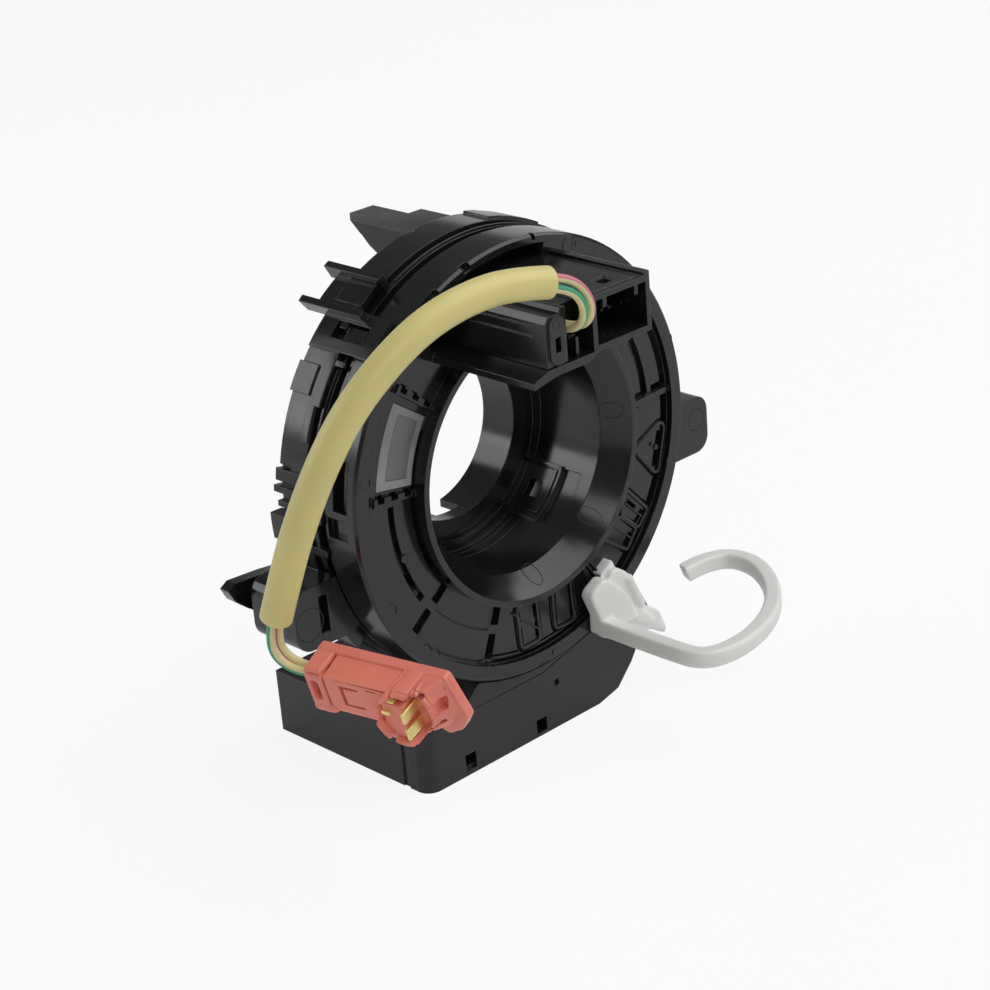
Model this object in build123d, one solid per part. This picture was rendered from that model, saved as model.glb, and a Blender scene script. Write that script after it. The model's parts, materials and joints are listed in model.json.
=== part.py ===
from build123d import *
from math import cos, degrees, radians, sin, tan
import os

# Steering clock spring: a rotor that turns with the steering wheel, a fixed case behind it and a
# coiled flat cable between the two. Millimetres. The bore runs along Y, the steering wheel side
# faces -Y, Z is up. The origin lies on the bore axis, in the plane of the rotor rim's front face.

# Rotor disc
RIM_R = 50.0            # outer radius of the rotor rim
RIM_W = 3.6             # width of the flat rim
RIM_T = 3.6             # front face of the rim to the back of the disc
SKIRT_T = 2.0           # wall of the rim's skirt
SKIRT_END = 9.5         # depth of the skirt's rear edge
FIELD_Y = 1.6           # depth of the recessed field between rim and bore
EDGE_R = 0.6            # rounding of the rim's outer edge
SLOT_W = 1.6            # width of the slots in the field
ROOT_SLOT_W = 0.8       # of the arc slot beside the funnel
RADIAL_SLOT_W = 2.3
RIB_T = 1.2             # stiffening ribs behind the disc
RIB_END = 8.2           # depth at which the ribs end

# Bore and funnel
BORE_R = 26.7           # rotor bore
FUNNEL_FLARE = 4.4      # how far the funnel's mouth stands outside the bore
FUNNEL_LIP = 1.4        # width of the funnel's front lip
FUNNEL_PROUD = 2.0      # how far the funnel stands in front of the rim
FUNNEL_END = 4.0        # depth at which the funnel becomes the bore
TUBE_T = 2.0            # wall of the bore tube
TUBE_END = 24.4         # depth of the bore tube's rear end
LIP_W = 2.7             # inward lip at the rear of the bore tube
LIP_T = 1.5

# Pocket in the field, behind the connector tower
POCKET_GAP = 0.9        # from the funnel to the pocket
POCKET_START = 60.0     # angles in degrees, from +X towards +Z
POCKET_END = 126.0
POCKET_WALL = 1.0
POCKET_FLOOR_T = 1.4

# Connector tower on the rotor
TOWER_FRONT = -28.0
TOWER_RIGHT = 11.5
TOWER_UNDER_RIM = 5.7   # from the rim's edge down to the tower's top
TOWER_WALL = 1.2
SOCKET_W = 14.8         # opening for the steering wheel switch plug
SOCKET_H = 9.6
SOCKET_DEPTH = 19.0
BAY_W = 7.2             # bay for the two airbag wires, left of the socket
COVER_W = 5.8           # snap cover left of the bay
COVER_H = 11.8
COVER_WALL = 1.1
TERMINAL_UNDER = 5.9    # from the tower's top down to the airbag terminals
FOOT_T = 1.4            # sloping foot plate under the bay and the cover
FOOT_REACH = 4.7        # how far the foot reaches past the cover
FOOT_DROP = 1.5

# Pins for the steering wheel switches
PIN = 0.64
PIN_PITCH = 2.3
PIN_COLUMNS = 6
PIN_ROW_GAP = 4.0
PIN_PROUD = 10.0        # length of the pins inside the socket
CARRIER_T = 3.5

# Inspection window on the left of the field
WINDOW_GAP = 0.4        # from the funnel to the window
WINDOW_EDGE = 3.5       # from the window to the rim
WINDOW_START = 145.0
WINDOW_END = 171.0
WINDOW_T = 1.2

# Sleeve that snaps into the rotor from behind, and the cam in it
SLEEVE_LAP = 2.6        # how far the sleeve's flange laps over the case
SLEEVE_T = 3.0
SLEEVE_WEB = 1.4
ARM_W = 11.0            # snap arms
ARM_START = 14.4
ARM_ANGLES = (-43.0, 77.0, 197.0)
CAM_BORE_R = 19.4       # through bore, free way for the steering shaft
CAM_WALL = 1.8
CAM_FLANGE_R = 24.4
CAM_END = 34.5
CAM_NOTCH_W = 7.0
CAM_NOTCH_ANGLE = -90.0
CAM_LOBE_LENGTH = 4.0

# Fixed case: front ring with its two beads, and the rear moulding
CASE_ROOM = 1.1         # room between the chamber's wall and the case's skirt
CASE_END = 24.0
CASE_PLATE_T = 1.7
CASE_SKIRT_T = 2.0
CASE_FRONT = 15.0
CASE_HOLE_GAP = 1.7     # between the rotor's bore tube and the case's hole
CHAMBER_GAP = 0.6       # between the rotor's skirt and the chamber's wall
CHAMBER_WALL = 1.6
CHAMBER_FRONT = 8.9
BEAD_FRONT = 9.9
BEAD_W = 1.6
BEAD_T = 1.4
FLANGE_W = 2.2
FLANGE_FRONT = 12.4
FLANGE_T = 2.0

# Flat cable and its two slip sheets
CABLE_W = 11.4
CABLE_T = 0.4
CABLE_HUB_GAP = 1.6     # between the bore tube and the first turn
CABLE_HALF_TURNS = 11
CABLE_ROOM = 1.2        # between the last turn and the chamber's wall
SHEET_T = 0.3
HUB_ANGLE = 85.0        # middle of the cable's inner end block
HUB_HALF = 9.0          # half of its width, in degrees
END_HALF = 7.0          # half of the outer end block's width, in degrees

# Mounting ears left and right
EAR_FRONT = 9.9
EAR_H = 14.2
EAR_CORNER = 4.0
LEFT_EAR_REACH = 10.1   # beyond the case
LEFT_EAR_TOP = -12.0
RIGHT_EAR_REACH = 18.5
RIGHT_EAR_TOP = -8.2
EAR_SLOT_W = 2.4
EAR_SLOT_H = 8.6
EAR_BOSS_R = 3.7

# Rear posts, wing and latch frame of the case
POST_END = 45.4
POST_TOP = 50.2
WING_FRONT = 26.6
WING_END = 29.6
WING_REACH = 64.4
FIN_H = 3.6
FIN_T = 1.5
FIN_START = 119.3
FIN_END = 129.4
FIN_BACK = 29.4
FRAME_END = 138.6       # lower edge of the frame, an angle
FRAME_T = 1.4
FRAME_FRONT = 3.6
FRAME_MIDDLE = 14.0
FRAME_BACK = 22.0

# Connector block under the case
BLOCK_LEFT = -36.6
BLOCK_RIGHT = 24.0
BLOCK_GAP = 2.1         # between the rotor's edge and the block
BLOCK_H = 15.4
BLOCK_FRONT = 1.0
SEAM_GAP = 0.45         # between the rotor's rim and the block's front cover
BLOCK_END = 51.4
BLOCK_WALL = 1.6
BLOCK_CORNER = 3.5
FRONT_SHELL_END = 7.2
FRONT_SHELL_T = 2.0
SHELL_GAP = 0.3
BULKHEAD = 30.0         # wall between the wiring space and the sockets
HARNESS_W = 29.0
AIRBAG_W = 13.0
PLUG_SOCKET_H = 10.2
CONTACT_ROW_GAP = 3.4
HARNESS_COLUMNS = 8
AIRBAG_COLUMNS = 2

# Airbag lead: route of the sheath's and the wires' common centre line, chosen by hand, and on
# which side of it the red striped wire lies at each point
WIRE_D = 1.8
WIRE_SPREAD = 1.1
SHEATH_D = 6.7
SHEATH_BORE = 5.3
WIRE_START_Y = -22.1
LEAD_ROUTE = [
    (-9.7, WIRE_START_Y, 38.4), (-9.7, -26.6, 38.4), (-9.5, -30.4, 41.0), (-9.9, -31.0, 45.4),
    (-12.0, -29.2, 48.9), (-18.2, -27.4, 50.9), (-25.8, -26.0, 52.4), (-36.8, -25.4, 52.5),
    (-47.4, -24.4, 50.2), (-57.2, -22.8, 44.6), (-65.4, -20.0, 36.2), (-70.9, -16.6, 25.4),
    (-74.5, -12.6, 13.4), (-76.3, -8.4, 1.2), (-77.1, -4.9, -8.2), (-76.7, -4.3, -14.0),
    (-74.3, -7.3, -17.4), (-72.45, -11.6, -17.75),
]
LEAD_SIDES = [
    (1, 0, 0), (1, 0, 0), (1, 0, 0), (1, 0, 0.2),
    (0.7, 0, 0.7), (0.2, 0, 1), (0, 0.2, 1), (0, 0.5, 0.8),
    (0, 0.8, 0.5), (0, 1, 0), (0, 1, -0.3), (0.4, 0.9, 0),
    (0.8, 0.6, 0), (1, 0.2, 0), (1, 0, 0), (1, 0, 0),
    (1, 0, 0), (1, 0, 0),
]
RADIUS_SHARE = 0.45

# Airbag plug at the end of the lead, in its own frame: length, height, depth
PLUG_ORIGIN = (-70.2, -11.0, -11.85)
PLUG_ALONG = (0.204, -0.979, 0.001)
PLUG_FACE = (-0.938, -0.196, -0.284)
PLUG_L = 31.0
PLUG_POINT = 33.8
PLUG_H = 11.4
PLUG_T = 7.0
PLUG_WALL = 1.4
PLUG_COVER_L = 20.5
PLUG_COVER_PROUD = 1.0
SNOUT_X = 24.4
SNOUT_Z = -5.8
SNOUT_R = 5.7
SNOUT_L = 4.6
CONTACT_W = 2.6
CONTACT_T = 0.6
CONTACT_L = 9.0

# Transport lock: clip on the rim, and its pull strap
LOCK_STRAP_W = 3.6
LOCK_STRAP_H = 4.0
LOCK_STRAP_TOP = -9.5   # this and the next are measured from the key
LOCK_BASE_X = -4.2
LOCK_CLIP_FRONT = -4.3
LOCK_PLATE_FRONT = -2.6
LOCK_KEY_ANGLE = -58.0
LOCK_KEY_OFF = 0.55     # outwards from the middle of the field
LOCK_KEY_W = 4.4
LOCK_KEY_T = 1.6
LOCK_KEY_END = 3.2

FIT = 0.1               # side clearance of pieces that snap or slide together
RUN = 0.4               # gap between rotor and case


def face_plane(depth):
    """Plane across the bore axis at a depth, seen from the steering wheel."""
    return Plane(origin=(0, depth, 0), x_dir=(1, 0, 0), z_dir=(0, -1, 0))


def slab(profile, front, back):
    """Carry a profile drawn in X and Z from one depth to another."""
    return extrude(face_plane(back) * profile, amount=back - front)


def ring(outer, inner, front, back):
    return slab(Circle(outer) - Circle(inner), front, back)


def sector(inner, outer, start, end):
    """Annular sector between two radii and two angles."""
    far = CenterArc((0, 0), outer, start, end - start)
    near = CenterArc((0, 0), inner, start, end - start)
    return make_face([far, Line(far @ 1, near @ 1), near, Line(near @ 0, far @ 0)])


def outline(*points):
    return make_face(Polyline(*points, close=True))


def turned(*points):
    """Body turned about the bore axis from (radius, depth) points."""
    return revolve(outline(*points), axis=Axis.Y)


def block(x0, x1, y0, y1, z0, z1):
    return Pos((x0 + x1) / 2, (y0 + y1) / 2, (z0 + z1) / 2) * Box(x1 - x0, y1 - y0, z1 - z0)


def at_angle(shape, angle):
    """Turn a shape built along +X about the bore axis, towards +Z."""
    return Rot(0, -angle, 0) * shape


def polar(radius, angle):
    return radius * cos(radians(angle)), radius * sin(radians(angle))


# Sizes that follow from the ones above
tube_r = BORE_R + TUBE_T
skirt_in = RIM_R - SKIRT_T
rim_in_r = RIM_R - RIM_W
funnel_r = BORE_R + FUNNEL_FLARE
funnel_out = funnel_r + FUNNEL_LIP
lip_r = BORE_R - LIP_W
pocket_in_r = funnel_out + POCKET_GAP
window_in_r = funnel_out + WINDOW_GAP
window_out_r = rim_in_r - WINDOW_EDGE
chamber_out = skirt_in - CHAMBER_GAP
chamber_r = chamber_out - CHAMBER_WALL
bead_r = chamber_out + BEAD_W
flange_r = chamber_out + FLANGE_W
case_in = chamber_out + CASE_ROOM
case_r = case_in + CASE_SKIRT_T
case_hole_r = tube_r + CASE_HOLE_GAP
sleeve_r = case_hole_r + SLEEVE_LAP
cable_start_r = tube_r + CABLE_HUB_GAP
cable_pitch = 2 * (chamber_r - CABLE_ROOM - cable_start_r) / CABLE_HALF_TURNS
left_ear_x = -(case_r + LEFT_EAR_REACH)
right_ear_x = case_r + RIGHT_EAR_REACH
block_top = -(RIM_R + BLOCK_GAP)
block_bottom = block_top - BLOCK_H
tower_top = RIM_R - TOWER_UNDER_RIM
terminal_z = tower_top - TERMINAL_UNDER
lock_key_r = (funnel_out + rim_in_r) / 2 + LOCK_KEY_OFF
lock_x, lock_z = polar(lock_key_r, LOCK_KEY_ANGLE)
pocket_floor = RIB_END - POCKET_FLOOR_T
socket_left = TOWER_RIGHT - TOWER_WALL - SOCKET_W
socket_right = TOWER_RIGHT - TOWER_WALL
socket_top = tower_top - TOWER_WALL
socket_bottom = socket_top - SOCKET_H
tower_left = socket_left - TOWER_WALL
tower_bottom = socket_bottom - TOWER_WALL
socket_floor = TOWER_FRONT + SOCKET_DEPTH
bay_left = tower_left - BAY_W
cover_left = bay_left - COVER_W
cover_bottom = tower_top - COVER_H
foot_left = cover_left - FOOT_REACH
pin_top = (socket_top + socket_bottom + PIN_ROW_GAP) / 2
pin_x0 = (socket_left + socket_right - (PIN_COLUMNS - 1) * PIN_PITCH) / 2
sheet_front = RIB_END
coil_front = BEAD_FRONT
coil_back = coil_front + CABLE_W
plate_front = CASE_END - CASE_PLATE_T
hub_block_top = tube_r + 3.0
tongue_front = RIM_T + 0.6
tongue_left = pin_x0 - 1.2
tongue_right = pin_x0 + (PIN_COLUMNS - 1) * PIN_PITCH + 1.2
coil_start = HUB_ANGLE + HUB_HALF
coil_end = coil_start + 180 * CABLE_HALF_TURNS
coil_end_r = cable_start_r + CABLE_HALF_TURNS * cable_pitch / 2
end_block_x = chamber_r * cos(radians(coil_end + END_HALF))
sleeve_front = TUBE_END
sleeve_back = sleeve_front + SLEEVE_T
cam_out_r = CAM_BORE_R + CAM_WALL


def field_at(share):
    """Radius in the field: 0 at the funnel, 1 at the rim."""
    return funnel_out + share * (rim_in_r - funnel_out)


def rotor_tower():
    """Connector tower: socket shell, sloping foot plate and the walls of the wire bay."""
    base = pocket_floor + POCKET_FLOOR_T / 2
    shell = block(tower_left, TOWER_RIGHT, TOWER_FRONT, base, tower_bottom, tower_top)
    shell -= block(socket_left, socket_right, TOWER_FRONT - 1, pocket_floor, socket_bottom, socket_top)
    foot = outline(
        (tower_left + 1, cover_bottom), (cover_left, cover_bottom), (foot_left, cover_bottom - FOOT_DROP),
        (foot_left, cover_bottom - FOOT_DROP - FOOT_T), (cover_left + 2, cover_bottom - FOOT_T - 0.3),
        (tower_left - 2, cover_bottom - FOOT_T - 0.3), (tower_left + 1, tower_bottom),
    )
    tower = shell + slab(foot, TOWER_FRONT, FIELD_Y + 1)
    # lead-in strip and latch window in the top, keys inside the socket
    hole_x = socket_left + 7.6
    front = TOWER_FRONT
    tower -= block(hole_x - 1.5, hole_x + 1.5, front + 3.6, front + 6.4, socket_top - 0.5, tower_top + 1)
    strip = block(tower_left + 2.0, TOWER_RIGHT - 2.4, front + 1.4, -1.0, tower_top - 0.2, tower_top + 0.25)
    square_hole = block(hole_x - 2.1, hole_x + 2.1, front + 3.0, front + 7.0, tower_top - 1, tower_top + 1)
    tower += strip - square_hole
    for x in (socket_left + 2.4, socket_right - 3.0):
        tower += block(x, x + 1.1, TOWER_FRONT + 0.4, socket_floor, socket_top - 2.2, socket_top + 0.2)
    # rib along the right edge of the top
    tower += block(TOWER_RIGHT - 1.6, TOWER_RIGHT, TOWER_FRONT, 0.4, tower_top - 0.2, tower_top + 0.9)
    return tower


def rotor():
    """Moulded rotor: rim, recessed field, funnelled bore tube, pocket and connector tower."""
    body = turned(
        (funnel_r, -FUNNEL_PROUD), (funnel_out, -FUNNEL_PROUD), (funnel_out, FIELD_Y), (rim_in_r, FIELD_Y),
        (rim_in_r, 0), (RIM_R - EDGE_R, 0), (RIM_R, EDGE_R), (RIM_R, SKIRT_END), (skirt_in, SKIRT_END),
        (skirt_in, RIM_T), (tube_r, RIM_T), (tube_r, TUBE_END), (lip_r, TUBE_END),
        (lip_r, TUBE_END - LIP_T), (BORE_R, TUBE_END - LIP_T), (BORE_R, FUNNEL_END),
    )
    # pocket with its floor and inner wall, open towards the front
    shell = sector(pocket_in_r - POCKET_WALL, skirt_in, POCKET_START - 1.5, POCKET_END + 1.5)
    room = sector(pocket_in_r, skirt_in, POCKET_START, POCKET_END)
    body += slab(shell, FIELD_Y, RIB_END)
    body -= slab(room, -1, pocket_floor)
    for step in range(9):
        angle = POCKET_END + 24 + step * 30
        rib = block(tube_r - 0.3, chamber_r - 0.2, RIM_T - 0.3, RIB_END, -RIB_T / 2, RIB_T / 2)
        body += at_angle(rib, angle)
    body += rotor_tower()
    # seat of the hub end block, and the way of its tongue into the tower
    body -= block(tongue_left - FIT, tongue_right + FIT,
                  tongue_front - FIT, RIB_END + 1, tube_r, pin_top + 2 * PIN)
    # free way of the pins, and the slots in the field
    body -= block(tongue_left, tongue_right, socket_floor, tongue_front,
                  pin_top - PIN_ROW_GAP - PIN, pin_top + PIN)
    arc_r = field_at(0.4)
    cuts = [sector(arc_r, arc_r + SLOT_W, 176.5, 213), sector(arc_r, arc_r + 1.3 * SLOT_W, 3.6, 25.5)]
    cuts.append(sector(rim_in_r - 0.1 - 1.1 * SLOT_W, rim_in_r - 0.1, 3.6, 26))
    cuts.append(sector(rim_in_r - 0.1 - 1.3 * SLOT_W, rim_in_r - 0.1, -56, 1.2))
    cuts.append(sector(funnel_out, funnel_out + ROOT_SLOT_W, 150, 216.4))
    for angle in (218.0, 250.0):
        for near, far in ((funnel_out + 0.1, field_at(0.35)), (field_at(0.5), rim_in_r - 1.2)):
            half = degrees(RADIAL_SLOT_W / (near + far))
            cuts.append(sector(near, far, angle - half, angle + half))
    for cut in cuts:
        body -= slab(cut, FIELD_Y - 1, RIM_T + 0.2)
    # notched bars above and below the inspection window
    for angle in (WINDOW_START - 3.6, WINDOW_END + 2.6):
        bar = sector(funnel_out - 0.2, rim_in_r - 2.4, angle - 1.3, angle + 1.3)
        body += slab(bar, FIELD_Y - 0.9, FIELD_Y + 0.3)
        for radius in (field_at(0.08), field_at(0.353), field_at(0.626)):
            body -= slab(sector(radius, radius + 1.9, angle - 1.9, angle + 0.4), -1, RIM_T - 0.4)
    window = sector(window_in_r, window_out_r, WINDOW_START, WINDOW_END)
    body -= slab(window, FIELD_Y - 1, RIM_T + 1)
    seat = sector(window_in_r - 0.4, window_out_r + 0.6, WINDOW_START - 1, WINDOW_END + 1)
    body += slab(seat, FIELD_Y + WINDOW_T, RIM_T + 1.4)
    # field ribs, raised a little
    for angle in (2.4, 296.0):
        rib = sector(funnel_out - 0.2, rim_in_r + 0.2, angle - 0.9, angle + 0.9)
        body += slab(rib, FIELD_Y - 0.7, FIELD_Y + 0.3)
    # windows for the snap arms of the sleeve, and the slot of the transport lock
    for angle in ARM_ANGLES:
        arm = block(lip_r - 1, tube_r + 1, ARM_START - FIT, TUBE_END + 1, -ARM_W / 2 - FIT, ARM_W / 2 + FIT)
        body -= at_angle(arm, angle)
    key = block(lock_key_r - LOCK_KEY_T / 2 - FIT, lock_key_r + LOCK_KEY_T / 2 + FIT, -1, RIM_T + 1,
                -LOCK_KEY_W / 2 - FIT, LOCK_KEY_W / 2 + FIT)
    return body - at_angle(key, LOCK_KEY_ANGLE)


def terminal_cover():
    """Snap cover over the airbag terminals, left of the wire bay."""
    right, left = bay_left, cover_left
    bottom = cover_bottom + FIT
    back = pocket_floor - FIT
    skin = outline(
        (right, bottom), (left, bottom), (left, tower_top - 2.3), (left + 0.9, tower_top - 0.9),
        (right - 1.7, tower_top - 0.9), (right - 1.4, tower_top + 0.1), (right, tower_top + 0.1),
    )
    room = outline(
        (right - COVER_WALL, bottom + COVER_WALL), (left + COVER_WALL, bottom + COVER_WALL),
        (left + COVER_WALL, tower_top - 3.2), (left + 1.7, tower_top - 2.2),
        (right - COVER_WALL, tower_top - 2.2),
    )
    cover = slab(skin, TOWER_FRONT + 0.5, back) - slab(room, TOWER_FRONT + 0.5 + COVER_WALL, back + 1)
    middle = (left + right) / 2
    face = RectangleRounded(COVER_W - 1.4, COVER_H - 1.6, 2.0)
    cover += slab(Pos(middle, (bottom + tower_top - 0.9) / 2) * face, TOWER_FRONT, TOWER_FRONT + 1)
    cover -= block(middle - 0.8, middle + 0.8, TOWER_FRONT - 1, TOWER_FRONT + 3,
                   tower_top - 8.8, tower_top - 5.6)
    cover -= slab(Circle(pocket_in_r + FIT), 0, RIB_END)
    for step in (2.2, 4.4):
        level = tower_top - step
        cover -= block(left - 1, left + 0.35, TOWER_FRONT + 4, back - 3, level - 1.0, level - 0.6)
    return cover


def lead_holder():
    """Insert in the wire bay that holds the two airbag terminals."""
    left, right = bay_left + FIT, tower_left - FIT
    middle = (left + right) / 2
    bottom = cover_bottom + FIT
    holder = block(left, right, WIRE_START_Y, pocket_floor - FIT, bottom, tower_top - 1.6)
    holder += block(middle - 0.4, middle + 0.4, TOWER_FRONT + 1.2, WIRE_START_Y + 1,
                    bottom, tower_top - 7.7)
    holder += block(middle - 0.9, middle + 0.9, TOWER_FRONT + 2.6, WIRE_START_Y + 1,
                    tower_top - 8.3, tower_top - 7.5)
    holder -= slab(Circle(pocket_in_r + FIT), 0, RIB_END)
    for x in wire_holes():
        holder -= Pos(x, WIRE_START_Y + 4, terminal_z) * Rot(90, 0, 0) * Cylinder(1.3, 8.02)
    return holder


def wire_holes():
    return LEAD_ROUTE[0][0] - WIRE_SPREAD, LEAD_ROUTE[0][0] + WIRE_SPREAD


def lead_terminals():
    """Crimp barrels of the two airbag wires, inside the insert."""
    barrels = []
    for x in wire_holes():
        barrels.append(Pos(x, WIRE_START_Y + 4.4, terminal_z) * Rot(90, 0, 0) * Cylinder(1.05, 7.2))
    return Compound(children=barrels)


def pin_carrier():
    """Insulating plate that fills the socket behind the pins."""
    carrier = block(socket_left + FIT, socket_right - FIT, socket_floor, socket_floor + CARRIER_T,
                    socket_bottom + FIT, socket_top - FIT)
    hole = PIN + 0.04
    for x, z in switch_pin_places():
        carrier -= block(x - hole / 2, x + hole / 2, socket_floor - 1, socket_floor + CARRIER_T + 1,
                         z - hole / 2, z + hole / 2)
    return carrier


def switch_pin_places():
    rows = (pin_top, pin_top - PIN_ROW_GAP)
    return [(pin_x0 + column * PIN_PITCH, z) for z in rows for column in range(PIN_COLUMNS)]


def switch_pins():
    """Square pins, from the tongue of the hub block to the mouth of the socket."""
    front = socket_floor - PIN_PROUD
    return Compound(children=[
        block(x - PIN / 2, x + PIN / 2, front, tongue_front, z - PIN / 2, z + PIN / 2)
        for x, z in switch_pin_places()])


def hub_end_block():
    """Moulded end of the flat cable on the hub, with the tongue that leads into the tower."""
    foot = sector(tube_r + FIT, hub_block_top, HUB_ANGLE - HUB_HALF, coil_start)
    body = slab(foot, tongue_front, coil_back)
    tongue = block(tongue_left, tongue_right, tongue_front, pocket_floor - FIT, tube_r + 1.0, pin_top + PIN)
    return body + tongue


def window_plate():
    """Grey inspection window with its slightly sunk middle."""
    plate = slab(sector(window_in_r + FIT, window_out_r - FIT, WINDOW_START + 0.2, WINDOW_END - 0.2),
                 FIELD_Y, FIELD_Y + WINDOW_T)
    middle = sector(window_in_r + 1.9, window_out_r - 2.6, WINDOW_START + 3, WINDOW_END - 3)
    return plate - slab(middle, FIELD_Y - 1, FIELD_Y + 0.3)


def inner_sleeve():
    """Sleeve snapped into the bore tube from behind; its flange holds the rotor in the case."""
    seat = CAM_FLANGE_R + FIT
    body = turned(
        (seat, sleeve_front), (sleeve_r, sleeve_front), (sleeve_r, sleeve_back),
        (cam_out_r + 2 * FIT, sleeve_back), (cam_out_r + 2 * FIT, sleeve_back - SLEEVE_WEB),
        (seat, sleeve_back - SLEEVE_WEB),
    )
    curve = Circle(tube_r) - Circle(BORE_R)
    for angle in ARM_ANGLES:
        arm = slab(curve, ARM_START, sleeve_front + 1) & block(0, 60, 0, 60, -ARM_W / 2, ARM_W / 2)
        arm -= block(0, 60, ARM_START + 3.6, ARM_START + 7.4, -2.0, 2.0)
        arm += slab(Circle(BORE_R + 0.2) - Circle(BORE_R - 0.7), ARM_START, ARM_START + 1.0) \
            & block(0, 60, 0, 60, -ARM_W / 2, ARM_W / 2)
        body += at_angle(arm, angle)
    return body


def cancel_cam():
    """Cam ring for the indicator switch, seated in the sleeve."""
    cam = turned(
        (CAM_BORE_R, sleeve_front + FIT), (CAM_FLANGE_R, sleeve_front + FIT),
        (CAM_FLANGE_R, sleeve_back - SLEEVE_WEB), (cam_out_r, sleeve_back - SLEEVE_WEB),
        (cam_out_r, CAM_END), (CAM_BORE_R, CAM_END),
    )
    for angle in (0.0, 180.0):
        lobe = slab(sector(cam_out_r - 0.3, cam_out_r + 3.0, -14, 14), CAM_END - CAM_LOBE_LENGTH, CAM_END)
        cam += at_angle(lobe, angle)
    notch = block(CAM_BORE_R - 2, cam_out_r + 2, sleeve_back + 1, CAM_END + 1,
                  -CAM_NOTCH_W / 2, CAM_NOTCH_W / 2)
    return cam - at_angle(notch, CAM_NOTCH_ANGLE)


def flat_cable():
    """Coiled ribbon: half turns about two centres in turn, so that it grows evenly."""
    grow = cable_pitch / 2
    edges = []
    for side in (-CABLE_T / 2, CABLE_T / 2):
        arcs = []
        for half in range(CABLE_HALF_TURNS):
            centre = (-grow / 2 if half % 2 == 0 else grow / 2, 0)
            radius = cable_start_r + grow / 2 + half * grow + side
            arcs.append(CenterArc(centre, radius, 180 * (half % 2), 180))
        edges.append(arcs)
    inner, outer = edges
    caps = [Line(inner[0] @ 0, outer[0] @ 0), Line(inner[-1] @ 1, outer[-1] @ 1)]
    ribbon = make_face(inner + outer + caps)
    return at_angle(slab(ribbon, coil_front, coil_back), coil_start)


def slip_sheet(front, notch):
    """Thin sheet that the coil slides on."""
    sheet = ring(chamber_r - 0.3, tube_r + 0.3, front, front + SHEET_T)
    if notch:
        gap = sector(tube_r - 1, hub_block_top + 0.4, HUB_ANGLE - HUB_HALF - 2, coil_start + 2)
        sheet -= slab(gap, front - 1, front + 1)
    return sheet


def stator_case():
    """Front ring of the case: chamber wall, bead and flange."""
    wall_out = chamber_out
    body = turned(
        (chamber_r, CHAMBER_FRONT), (wall_out, CHAMBER_FRONT), (wall_out, BEAD_FRONT), (bead_r, BEAD_FRONT),
        (bead_r, BEAD_FRONT + BEAD_T), (wall_out, BEAD_FRONT + BEAD_T), (wall_out, FLANGE_FRONT),
        (flange_r, FLANGE_FRONT), (flange_r, FLANGE_FRONT + FLANGE_T), (wall_out, FLANGE_FRONT + FLANGE_T),
        (wall_out, plate_front), (chamber_r, plate_front),
    )
    # way of the cable's outer end into the connector block
    return body - end_block_way(FIT)


def end_block_way(gap):
    """Space that the cable's outer end block takes, from the chamber into the connector block."""
    left, right = end_block_x - 6.0 - gap, end_block_x + 6.0 + gap
    return block(left, right, coil_front - gap, plate_front + 10 * gap, block_top - 4, -chamber_r * 0.98)


def case_end_block():
    """Moulded end of the flat cable on the case, leading down into the connector block."""
    tongue = sector(coil_end_r - CABLE_T, chamber_r, coil_end, coil_end + 2 * END_HALF)
    body = end_block_way(0) - slab(Circle(chamber_r - 0.2), 0, 30)
    body -= block(-40, 40, coil_front - 1, FRONT_SHELL_END + 3, block_top - 8, block_top + 0.3)
    return body + slab(tongue, coil_front, coil_back)


def ear(outer_x, top):
    """Mounting ear beside the case, open at its back."""
    side = 1 if outer_x > 0 else -1
    inner_x = side * (case_r - 8)
    left, right = min(outer_x, inner_x), max(outer_x, inner_x)
    bottom = top - EAR_H
    shape = Pos((left + right) / 2, (top + bottom) / 2) * RectangleRounded(right - left, EAR_H, EAR_CORNER)
    hollow = RectangleRounded(right - left - 4, EAR_H - 4, EAR_CORNER - 1)
    hollow = Pos((left + right) / 2, (top + bottom) / 2) * hollow
    # the left ear's slot is blind, the right one's runs into its hollow
    front = EAR_FRONT + (2 if side > 0 else 5)
    body = slab(shape, EAR_FRONT, CASE_END) - slab(hollow, front, CASE_END + 1)
    body -= slab(Circle(case_r - CASE_SKIRT_T / 4), EAR_FRONT - 1, CASE_END + 1)
    slot_x = side * (case_r + 2.2)
    slot_z = (top + bottom) / 2
    body -= block(slot_x - EAR_SLOT_W / 2, slot_x + EAR_SLOT_W / 2, EAR_FRONT - 1, EAR_FRONT + 3,
                  slot_z - EAR_SLOT_H / 2, slot_z + EAR_SLOT_H / 2)
    return body


def rear_post():
    """Stepped locating post behind the top of the case, on a curved gusset."""
    top = make_face(Polyline((5.2, CASE_END - 1), (5.2, 33.6), (1.4, 33.6), (1.4, POST_END),
                             (-5.5, POST_END),
                             (-9.1, POST_END - 4.3), (-9.1, CASE_END - 1), close=True))
    post = extrude(Plane.XY.offset(38) * top, amount=POST_TOP - 38)
    side = make_face(Polyline((CASE_END - 1, POST_TOP), (POST_END, POST_TOP), (POST_END, POST_TOP - 1.0),
                              (44.2, 47.4), (42.0, 45.6), (39.8, 43.6), (37.4, 42.2), (33.0, 40.8),
                              (CASE_END + 2, 40.2), (CASE_END - 1, 40.2), close=True))
    return post & extrude(Plane.YZ.offset(-20) * side, amount=40)


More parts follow.
